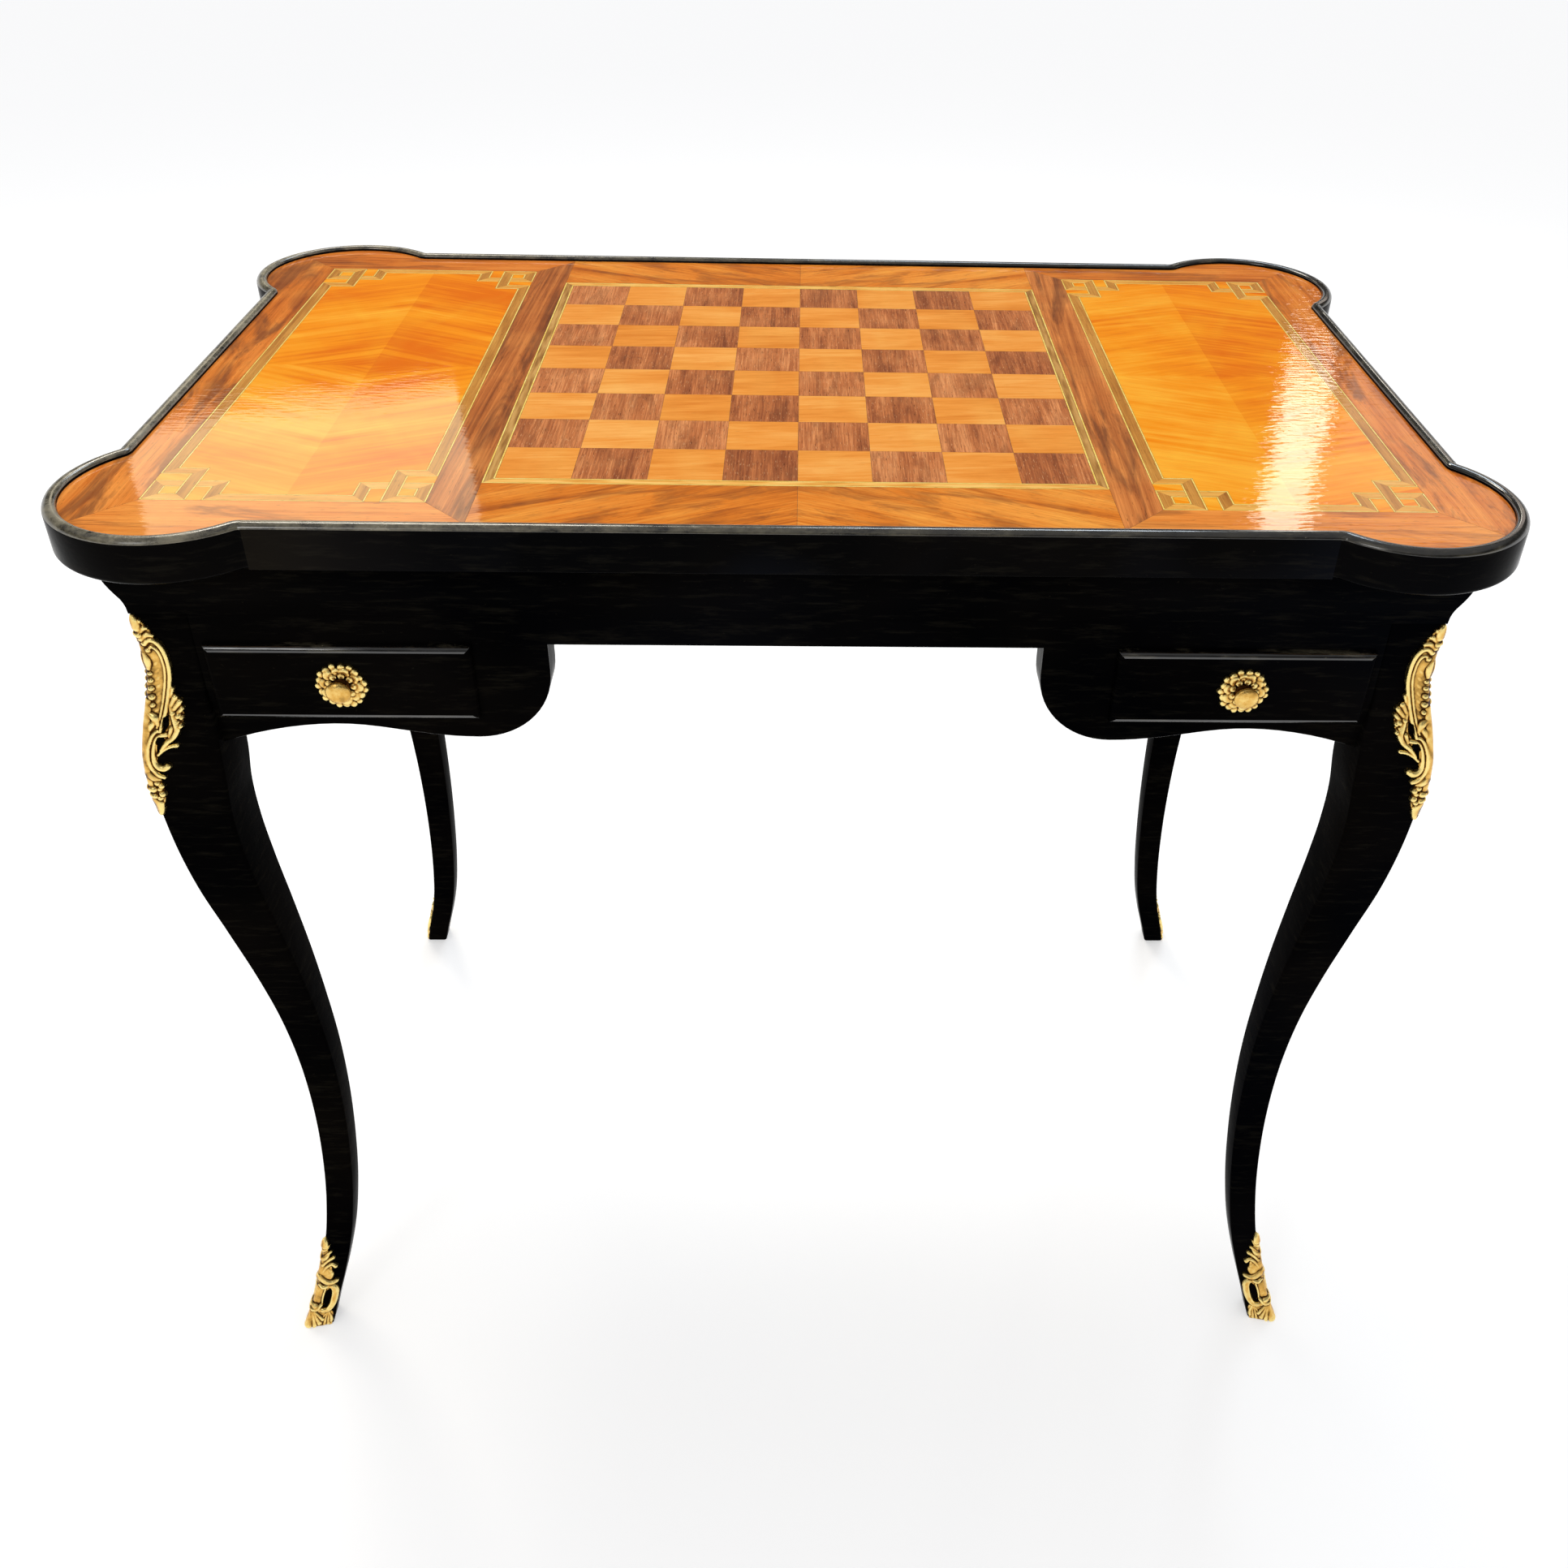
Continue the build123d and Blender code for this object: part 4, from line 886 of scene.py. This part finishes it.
def relief(across, down, step, ridges, holes=(), flare=None, mirrored=True):
    """Grid of a mount in millimetres: places, cover, heights and hollows, and the step between places."""
    low = 0.0 if mirrored else -across
    line_u = np.linspace(low, across, int(round((across - low) / step)) + 1)
    line_v = np.linspace(0.0, down, int(round(down / step)) + 1)
    u, v = np.meshgrid(line_u, line_v, indexing="ij")
    cover = np.full(u.shape, uncovered)
    height = np.zeros(u.shape)
    for points, radii, fullness, lift in ridges:
        one_cover, one_height = ridge(u, v, points, radii, fullness, lift)
        cover = np.maximum(cover, one_cover)
        height = np.maximum(height, one_height)
    for hole_u, hole_v, half_width, half_height in holes:
        ring = ((u - hole_u) / half_width) ** 2 + ((v - hole_v) / half_height) ** 2 - 1
        cover = np.minimum(cover, ring)
    if mirrored:
        u = np.vstack([-u[:0:-1], u])
        v, cover, height = (np.vstack([half[:0:-1], half]) for half in (v, cover, height))
    soft = height.copy()
    for _ in range(int(round(softened / step)) ** 2):
        edge = np.pad(soft, 1, mode="edge")
        soft = (edge[:-2, 1:-1] + edge[2:, 1:-1] + edge[1:-1, :-2] + edge[1:-1, 2:]) / 4
    # Lower than the softened surface reads as hollow: the gilding paints shade and patina there, and a painted
    # highlight on the high parts.
    hollow = np.clip(level_ground + (soft - height) / full_depth, 0.0, 1.0)
    if flare is not None:
        height = height + flare(np.abs(u), v) * (cover > 0)
    return u, v, cover, height, hollow, step


def gilt_piece(name, points, faces, hollows, body, node, flip=False):
    """Closed mesh of gilt brass; each point knows how deep it lies in a hollow, which darkens the gilding with patina
    and painted shade.
    """
    mesh = mesh_from(name, points, faces, flip)
    turn_outwards(mesh)
    mesh.shade_smooth()
    shade = mesh.attributes.new("hollow", "FLOAT", "POINT")
    shade.data.foreach_set("value", hollows)
    new_piece(name, mesh, [gilt], body, node)


def relief_piece(name, grid, wrap, body, node, flip=False):
    """Closed shell of a relief: chased face, plain back, outline drawn to the edge of its cover."""
    u, v, cover, height, hollow, step = grid
    valid = cover > 0
    cells = valid[:-1, :-1] & valid[1:, :-1] & valid[1:, 1:] & valid[:-1, 1:]
    used = np.zeros(u.shape, dtype=int)
    for di, dj in ((0, 0), (1, 0), (1, 1), (0, 1)):
        used[di:di + cells.shape[0], dj:dj + cells.shape[1]] += cells
    shown, inner = used > 0, used == 4
    border = shown & ~inner
    slope_u, slope_v = np.gradient(cover, step)
    steep = np.maximum(slope_u**2 + slope_v**2, 1e-6)
    place_u, place_v = (
        np.where(border, place + np.clip(-cover * slope / steep, -step, step), place)
        for place, slope in ((u, slope_u), (v, slope_v)))
    place_u = np.clip(place_u, -np.abs(u).max(), np.abs(u).max())
    place_v = np.clip(place_v, 0.0, v.max())
    front = wrap(place_u[shown], place_v[shown], np.where(border, 0.0, height)[shown])
    back = wrap(place_u[inner], place_v[inner], np.zeros(int(inner.sum())))
    front_index = np.full(u.shape, -1)
    front_index[shown] = np.arange(len(front))
    back_index = front_index.copy()
    back_index[inner] = len(front) + np.arange(len(back))
    i, j = np.nonzero(cells)
    face, reverse = (
        np.stack([index[i, j], index[i + 1, j], index[i + 1, j + 1], index[i, j + 1]], axis=1)
        for index in (front_index, back_index))
    faces = np.vstack([face, reverse[:, ::-1]])
    hollows = np.concatenate([hollow[shown], np.ones(len(back))])
    gilt_piece(name, np.vstack([front, back]).tolist(), faces.tolist(), hollows, body, node, flip)


mount_gap = 0.12 * mm


def round_corner(top, x_side, y_side, length_share=1.0):
    """Wraps flat places in millimetres round the outer corner of a leg, standing off it."""
    bend = leg_arris * math.pi / 4

    def wrap(u, v, rise):
        u, height = u * mm, top - v * length_share * mm
        stand = sway(height)
        reach = leg_arris + mount_gap + rise * mm
        run = np.maximum(np.abs(u) - bend, 0.0)
        angle = math.radians(225) + np.sign(u) * np.minimum(np.abs(u), bend) / leg_arris
        x = -case_half_x - stand + leg_arris + reach * np.cos(angle) + np.where(u > 0, run, 0.0)
        y = -case_half_y - stand + leg_arris + reach * np.sin(angle) + np.where(u < 0, run, 0.0)
        return np.stack([x * x_side, y * y_side, height], axis=1)
    return wrap


def leaf(points, radii, fullness=0.95, lift=0.8):
    return (points, radii, fullness, lift)


def bud(u, v, radius, fullness=1.15, lift=0.9):
    return ([(u, v)], [radius], fullness, lift)


def fuller(ridges, share):
    """The same ridges, each thicker by a share and a little flatter."""
    return [(points, [radius * share for radius in radii], fullness / share**0.4, lift)
            for points, radii, fullness, lift in ridges]


# Half of a knee mount, in millimetres out from the leg's corner and down from the top of the mount
knee_ridges = [
    leaf([(0.6, 3), (2.6, 14)], [1.6, 5.0], 0.05, 1.0),
    leaf([(4.5, 22), (5.6, 35), (5.4, 50), (4.6, 64), (3.4, 78)], [6.0, 7.4, 7.2, 6.4, 5.4], 0.02, 1.2),
    leaf([(14, 57), (16.6, 65), (17.4, 74), (14, 83)], [2.4, 4.0, 3.8, 3.0], 0.05, 0.8),
    leaf([(2.6, 84), (2.6, 98), (3.0, 111)], [3.6, 3.9, 3.9], 0.05, 1.0),
    leaf([(3, 113), (3.6, 124), (2.2, 135)], [3.8, 3.4, 2.0], 0.05, 0.9),
    leaf([(0, 60), (0, 78), (0, 98), (0, 118)], [1.8, 2.4, 2.4, 1.8], 0.45, 1.2),
    leaf([(0.2, 0.8), (0.8, 5), (1.2, 10)], [0.8, 1.9, 1.9]),
    leaf([(1.4, 7), (3.2, 4.6)], [1.2, 1.2]),
    leaf([(1.8, 12.4), (4.4, 9.8), (6.0, 9.6)], [1.3, 1.5, 1.2]),
    leaf([(1.8, 17.5), (5.2, 14.4), (8.4, 14.8)], [1.4, 1.7, 1.3]),
    bud(1.2, 14.4, 1.7),
    leaf([(2.8, 20.6), (5.8, 17.8), (9.4, 18.6), (12.2, 23.4), (13.4, 31), (13.3, 40), (12.7, 50), (11.8, 60),
          (10.6, 70), (9.0, 78)], [1.2, 1.4, 1.5, 1.4, 1.3, 1.3, 1.2, 1.2, 1.1, 1.0], 1.05, 1.3),
    leaf([(3.6, 25.4), (6.0, 22.8), (8.8, 25), (10.3, 31), (10.5, 40), (9.9, 50), (9.1, 60), (8.0, 70),
          (6.6, 77)], [1.0, 0.9, 0.9, 0.85, 0.85, 0.8, 0.8, 0.8, 0.7], 1.1, 1.0),
    bud(3.8, 25.0, 1.5), bud(2.8, 20.4, 1.5),
    leaf([(0.9, 27.5), (2.0, 33), (1.2, 38.6)], [0.7, 1.6, 0.8], 1.0, 1.0),
    bud(1.7, 41.6, 1.2), bud(1.9, 46.2, 1.35), bud(2.2, 51.4, 1.55), bud(2.7, 57.0, 1.75), bud(3.1, 62.2, 1.5),
    leaf([(1.6, 68), (4.8, 70.5), (7.2, 75)], [1.4, 2.1, 1.3]),
    leaf([(1.4, 80), (3.4, 75), (6.6, 70.6)], [1.0, 1.9, 1.1]),
    leaf([(13.0, 56.5), (14.2, 51.4)], [1.5, 1.5]),
    leaf([(14.0, 62), (16.2, 57.0)], [1.6, 1.8]),
    leaf([(16.0, 64.5), (19.0, 59.8)], [1.6, 1.8]),
    leaf([(17.2, 68.4), (20.6, 64.4)], [1.4, 1.5]),
    bud(15.4, 67.4, 1.7), bud(18.8, 69.0, 1.8), bud(21.0, 70.2, 1.4), bud(21.0, 75.6, 1.6), bud(18.8, 73.2, 1.2),
    leaf([(12.4, 60), (14.8, 66), (17, 72), (19.0, 78), (17.2, 83), (13, 87), (9.8, 92)],
         [1.0, 1.4, 1.6, 1.8, 1.7, 1.5, 1.2], 1.0, 1.0),
    leaf([(15.4, 77.5), (14.6, 82.5)], [1.4, 1.3]),
    leaf([(9.2, 82.2), (12.4, 81.8)], [1.3, 1.3]),
    leaf([(7.8, 95.6), (11.6, 91.4), (15.6, 89.4), (19.2, 88.8)], [1.0, 1.4, 1.3, 1.4]),
    leaf([(9.0, 79.4), (6.2, 79.6), (3.6, 83), (1.9, 89), (1.4, 95), (1.9, 101), (3.6, 106), (6.2, 108.8)],
         [0.9, 1.0, 1.1, 1.2, 1.2, 1.2, 1.1, 0.9], 1.05, 1.2),
    leaf([(8.4, 82), (6.2, 84.4), (4.9, 89), (4.6, 95), (5.2, 100.6), (7.6, 104), (10.6, 104.8), (13.0, 103.4)],
         [0.7, 0.8, 0.9, 1.1, 1.4, 1.8, 2.0, 2.0], 1.0, 1.0),
    leaf([(3.6, 107), (6.4, 109.8), (9.6, 111.4)], [1.3, 1.7, 1.5]),
    leaf([(0.8, 107.6), (3.2, 111.6), (6.0, 113.6)], [1.2, 2.2, 1.0]),
    bud(4.6, 116.0, 1.7), bud(7.0, 118.0, 1.9), bud(6.2, 124.4, 2.0), bud(5.2, 120.6, 1.5), bud(1.6, 120.6, 2.0),
    bud(1.2, 126.4, 1.6), bud(3.8, 127.8, 1.6),
    leaf([(0.6, 129), (2.6, 133), (1.9, 138.6), (0.4, 142.2)], [1.4, 2.0, 1.5, 0.8]),
    leaf([(0.6, 131), (0.4, 138)], [1.2, 1.0]),
]
knee_ridges += [
    leaf([(3.4, 37 + 5.1 * rib), (6.0, 34.6 + 5.1 * rib), (8.6, 31.6 + 5.1 * rib)], [0.9, 1.5, 0.8], 0.55, 0.6)
    for rib in range(8)
]
knee_holes = [(11.5, 74.0, 1.7, 4.2), (7.9, 87.0, 1.3, 1.8)]

# Half of a sabot, in the same way
shoe_ridges = [
    leaf([(0, 8), (1, 22), (2.6, 34)], [2.0, 4.4, 6.2], 0.05, 0.9),
    leaf([(3.4, 48), (3.6, 62)], [6.2, 6.2], 0.02, 0.8),
    leaf([(0.8, 30), (4.2, 38)], [3.6, 6.6], 0.2, 0.8),
    leaf([(4, 76), (4, 86)], [8.0, 9.0], 0.02, 1.2),
    leaf([(12, 76), (12, 86)], [5.0, 5.4], 0.02, 0.8),
    leaf([(0, 1), (0.6, 5), (1.0, 9)], [0.7, 1.9, 2.3]),
    leaf([(0, 13.5), (2.0, 11.4), (3.6, 8.2)], [1.3, 1.4, 0.9]),
    leaf([(0, 22), (2.4, 20), (4.8, 15.8)], [1.5, 1.9, 1.1]),
    leaf([(1.0, 19.6), (3.6, 16.4), (5.8, 14.2)], [1.0, 1.2, 1.3]),
    leaf([(1.0, 28), (4.6, 23), (8.4, 19.8)], [1.1, 1.4, 1.6]),
    leaf([(0.8, 36.5), (4.0, 29.6), (8.0, 26.4), (11.4, 28.2)], [1.0, 1.5, 1.5, 1.8]),
    leaf([(0, 37.4), (3, 40.6), (7, 43.2), (11, 43.8), (14.6, 42.0)], [1.7, 2.3, 2.3, 1.9, 1.6], 0.9, 1.2),
    leaf([(1.5, 46.4), (4.6, 48.6), (8, 47.6), (9.6, 45.6)], [1.0, 1.7, 1.8, 1.2], 0.9, 1.0),
    leaf([(9.4, 47.4), (12.6, 47.8), (15.2, 51.6), (15.9, 58), (15.4, 64.4), (13, 69.4), (9.2, 71), (6.2, 70.6)],
         [1.8, 2.4, 2.7, 2.7, 2.7, 2.5, 2.2, 1.7], 0.75, 0.9),
    leaf([(6.9, 50.6), (6.5, 58), (6.9, 66)], [0.7, 0.8, 0.7], 1.0, 1.0),
    leaf([(0.4, 70), (3.4, 68.8), (6.2, 65.2)], [1.3, 2.1, 1.4], 0.9, 1.6),
    leaf([(0.2, 65), (2.6, 66.8), (5.6, 70.6)], [1.3, 2.1, 1.4], 0.9, 1.3),
    leaf([(0, 72), (0, 78), (0, 84.4)], [0.9, 1.5, 2.0], 0.8, 1.6),
    leaf([(0.6, 72), (2.2, 78), (4.0, 84.2)], [0.9, 1.4, 1.9], 0.8, 1.6),
    leaf([(1.2, 72), (4.2, 77.4), (7.6, 82.6)], [0.9, 1.3, 1.8], 0.8, 1.5),
    leaf([(1.8, 72), (5.6, 75.6), (9.6, 79.4)], [0.8, 1.2, 1.6], 0.8, 1.3),
    leaf([(13.0, 72.5), (9.6, 78), (8.8, 83.4)], [0.6, 1.0, 1.3], 0.8, 0.9),
    leaf([(13.2, 72.5), (12.0, 78), (11.8, 84.2)], [0.6, 1.0, 1.4], 0.8, 0.9),
    leaf([(13.4, 72.5), (14.2, 78), (14.6, 84.0)], [0.6, 1.0, 1.4], 0.8, 0.9),
    leaf([(13.6, 72.5), (15.8, 77), (16.8, 81.4)], [0.6, 1.0, 1.3], 0.8, 0.9),
]
shoe_holes = [(9.8, 59.0, 2.3, 7.3)]


def toe_flare(u, v):
    """The shell over the toe turns outwards."""
    down = np.clip((v - 70.0) / 16.0, 0.0, 1.0)
    return 2.2 * down**1.4 * np.clip(1.0 - u / 15.0, 0.0, 1.0)


knee_top = 676.2 * mm
knee_length_share = 0.984
shoe_height = 86.1
knee_grid = relief(across=23.1, down=143.22, step=0.42, ridges=fuller(knee_ridges, 1.26), holes=knee_holes)
shoe_grid = relief(
    across=19.32, down=shoe_height, step=0.35, ridges=fuller(shoe_ridges, 1.1), holes=shoe_holes, flare=toe_flare)
for corner, sides in corners.items():
    for name, node, grid, wrap in (
            ("knee_scrolls_", "knee_mount_", knee_grid, round_corner(knee_top, *sides, knee_length_share)),
            ("leafy_shoe_", "sabot_", shoe_grid, round_corner(shoe_height * mm, *sides))):
        relief_piece(name + corner, grid, wrap, "case", node + corner, sides[0] * sides[1] < 0)


# Rosettes and knobs

rosette_radius = 17.2
rosette_step = 0.2866667


def polar(angle, radius):
    """Place on the flat rosette, from an angle in degrees round its middle."""
    turn = math.radians(angle)
    return (radius * math.sin(turn), rosette_radius - radius * math.cos(turn))


# Round the rosette: angle, reach and size of each outer gadroon
rosette_gadroons = [
    (6, 14.3, 2.3), (25, 14.8, 2.0), (43, 14.2, 2.5), (63, 13.6, 2.0), (81, 14.6, 2.3), (99, 14.9, 2.1),
    (118, 14.0, 2.6), (138, 14.7, 2.0), (156, 14.9, 2.3), (174, 14.1, 2.5), (193, 14.8, 2.0), (211, 14.2, 2.4),
    (230, 14.9, 2.1), (249, 14.0, 2.6), (268, 14.8, 2.0), (286, 14.2, 2.4), (304, 14.9, 2.1), (323, 14.2, 2.5),
    (343, 14.8, 2.0),
]

# Between them: angle and size of each curl
rosette_curls = [
    (14, 1.9), (55, 1.6), (90, 2.0), (132, 1.7), (168, 2.0), (205, 1.6), (242, 2.0), (280, 1.7), (318, 2.0),
    (350, 1.5),
]


def rosette_ridges():
    """Clusters of round gadroons round the knob, with curls between them."""
    ridges = [leaf([polar(0, 0)], [13.0], 0.0, 1.5)]
    for angle, reach, size in rosette_gadroons:
        ridges.append(leaf(
            [polar(angle, 9.8), polar(angle + 1.5, 1.1 * reach - 1.15 * size)], [size * 0.7, size * 1.15], 0.62, 0.9))
    for angle, size in rosette_curls:
        ridges.append(leaf(
            [polar(angle - 13, 8.2), polar(angle - 6, 10.6), polar(angle + 6, 11.2), polar(angle + 12, 9.4)],
            [size * 0.75, size * 1.15, size * 1.3, size * 0.95], 0.62, 1.7))
    for angle in range(0, 360, 40):
        ridges.append(bud(*polar(angle + 9, 7.6), 2.5, 0.7, 1.9))
        ridges.append(bud(*polar(angle + 29, 9.4), 2.1, 0.7, 1.5))
    return ridges


# Out along the knob: its radius and how far it stands off the drawer
knob_profile = [
    (2.4, 0.6), (5.2, 0.9), (5.6, 1.8), (4.9, 2.6), (4.0, 3.8), (3.6, 5.2), (3.9, 6.6), (4.9, 7.7), (6.3, 8.2),
    (7.3, 8.7), (7.66, 9.4), (7.5, 10.1), (6.9, 10.8), (5.8, 11.4), (4.3, 11.85), (2.3, 12.12), (0.0, 12.18),
]


def knob(name, centre_x, body, node):
    """Turned neck, darker than the smooth domed button it carries, which is a little flattened."""
    line = smooth_line(knob_profile, 4)
    around, flattened, neck_length = 56, 0.94, 6.4 * mm
    points = []
    for radius, stand in line[:-1]:
        for step in range(around):
            angle = 2 * math.pi * step / around
            points.append((
                centre_x + radius * mm * math.cos(angle), drawer_front_y - stand * mm,
                drawer_middle_z + flattened * radius * mm * math.sin(angle)))
    tip, foot = len(points), len(points) + 1
    for stand in (line[-1][1], line[0][1]):
        points.append((centre_x, drawer_front_y - stand * mm, drawer_middle_z))
    faces = rings_joined(len(line) - 1, around)
    outermost = tip - around
    for side in range(around):
        after = (side + 1) % around
        faces += [(outermost + side, outermost + after, tip), (after, side, foot)]
    hollows = [0.38 + 0.45 * (y > drawer_front_y - neck_length) for _, y, _ in points]
    gilt_piece(name, points, faces, hollows, body, node)


def flat_on_drawer(centre_x):
    """Lays flat places in millimetres on the face of a drawer."""
    def wrap(u, v, rise):
        return np.stack([
            centre_x + u * mm, drawer_front_y - (0.05 + rise) * mm, drawer_middle_z + (rosette_radius - v) * mm],
            axis=1)
    return wrap


rosette_grid = relief(rosette_radius, 2 * rosette_radius, rosette_step, rosette_ridges(), mirrored=False)
for side, centre_x in (("left", -drawer_centre_x), ("right", drawer_centre_x)):
    body = "drawer_" + side
    relief_piece("shell_rosette_" + side, rosette_grid, flat_on_drawer(centre_x), body, "drawer_rosette_" + side)
    knob("domed_knob_" + side, centre_x, body, "drawer_knob_" + side)


# Floor, light and camera

def room():
    """White studio: even light all round. Gloss sees a white horizon, a dark wall above it, and a dim ceiling."""
    world = bpy.data.worlds.new("studio")
    bpy.context.scene.world = world
    world.use_nodes = True
    w = Wires(world.node_tree)
    w.tree.nodes.clear()
    even = w.node("ShaderNodeBackground", {"Color": (0.98, 0.985, 1.0, 1.0), "Strength": 0.72})
    height = w.axes(w.node("ShaderNodeTexCoord", output="Generated"))[2]
    walls = w.ramp(height, (0.10, 0.24, 0.46, 0.66), [grey(level) for level in (1.0, 0.07, 0.06, 0.35)])
    sight, either = w.rays()
    seen = w.node("ShaderNodeBackground", {"Color": w.lay(sight, walls, grey(1.0))})
    out = w.tree.nodes.new("ShaderNodeOutputWorld")
    w.feed(out.inputs["Surface"], w.node("ShaderNodeMixShader", {0: either, 1: even, 2: seen}))


def floor():
    reach = 40.0
    ends = [(-reach, -reach, 0), (reach, -reach, 0), (reach, reach, 0), (-reach, reach, 0)]
    mesh = mesh_from("studio_floor", ends, [(0, 1, 2, 3)])
    f = Finish("white_floor")
    glow = f.maths("MULTIPLY", f.rays()[1], 0.44)
    mesh.materials.append(f.wire(
        Base_Color=grey(0.72), Roughness=0.9, IOR=1.05, Emission_Color=grey(1.0), Emission_Strength=glow))
    put_in_scene("studio_floor", mesh)


def lamp(name, place, aim, width, height, radiance, colour=(1.0, 1.0, 1.0)):
    """Soft rectangular lamp that faces a place, given by its brightness per area."""
    data = bpy.data.lights.new(name, "AREA")
    energy = radiance * math.pi * width * height
    settle(data, shape="RECTANGLE", size=width, size_y=height, energy=energy, color=colour)
    back = (np.array(place) - np.array(aim)).astype(float)
    back /= np.linalg.norm(back)
    side = np.cross((0.0, 0.0, 1.0), back)
    side /= np.linalg.norm(side)
    up = np.cross(back, side)
    turn = Matrix([[side[row], up[row], back[row], place[row]] for row in range(3)] + [[0, 0, 0, 1]])
    put_in_scene(name, data, matrix_world=turn)


room()
floor()
lamp("window_right", (1.26, 2.5, 2.0), (0.3, -0.1, 0.74), 0.12, 0.60, 8.0, (1.0, 0.95, 0.82))
lamp("far_wall", (1.82, 2.5, 2.0), (0.3, -0.1, 0.74), 0.92, 0.62, 1.3, (1.0, 0.86, 0.76))
lamp("window_left", (-1.25, 2.5, 2.0), (-0.3, -0.1, 0.74), 0.80, 0.40, 3.0, (1.0, 0.88, 0.64))
lamp("ceiling_left", (-0.85, 1.5, 2.7), (-0.2, 0.0, 0.74), 0.9, 0.6, 12.0, (1.0, 0.93, 0.80))
lamp("ceiling_right", (0.45, 1.5, 2.7), (0.1, 0.0, 0.74), 0.9, 0.6, 9.0, (0.78, 0.89, 1.0))
lamp("soft_front", (-1.6, -2.6, 2.4), (0.0, 0.0, 0.5), 0.9, 0.9, 4.0)


def camera():
    """Place, turn and lens of the photo's camera, fitted to the chessboard and the feet."""
    data = bpy.data.cameras.new("photo_camera")
    settle(data, sensor_width=36.0, lens=34.02, shift_x=-0.0409, shift_y=-0.0309, clip_start=0.05, clip_end=200.0)
    turn = [math.radians(angle) for angle in (55.414, -1.259, -1.280)]
    bpy.context.scene.camera = put_in_scene(
        "photo_camera", data, location=(0.00365, -0.9976, 1.1205), rotation_euler=turn)


camera()
bpy.context.scene.view_settings.view_transform = "Standard"

bpy.context.view_layer.update()
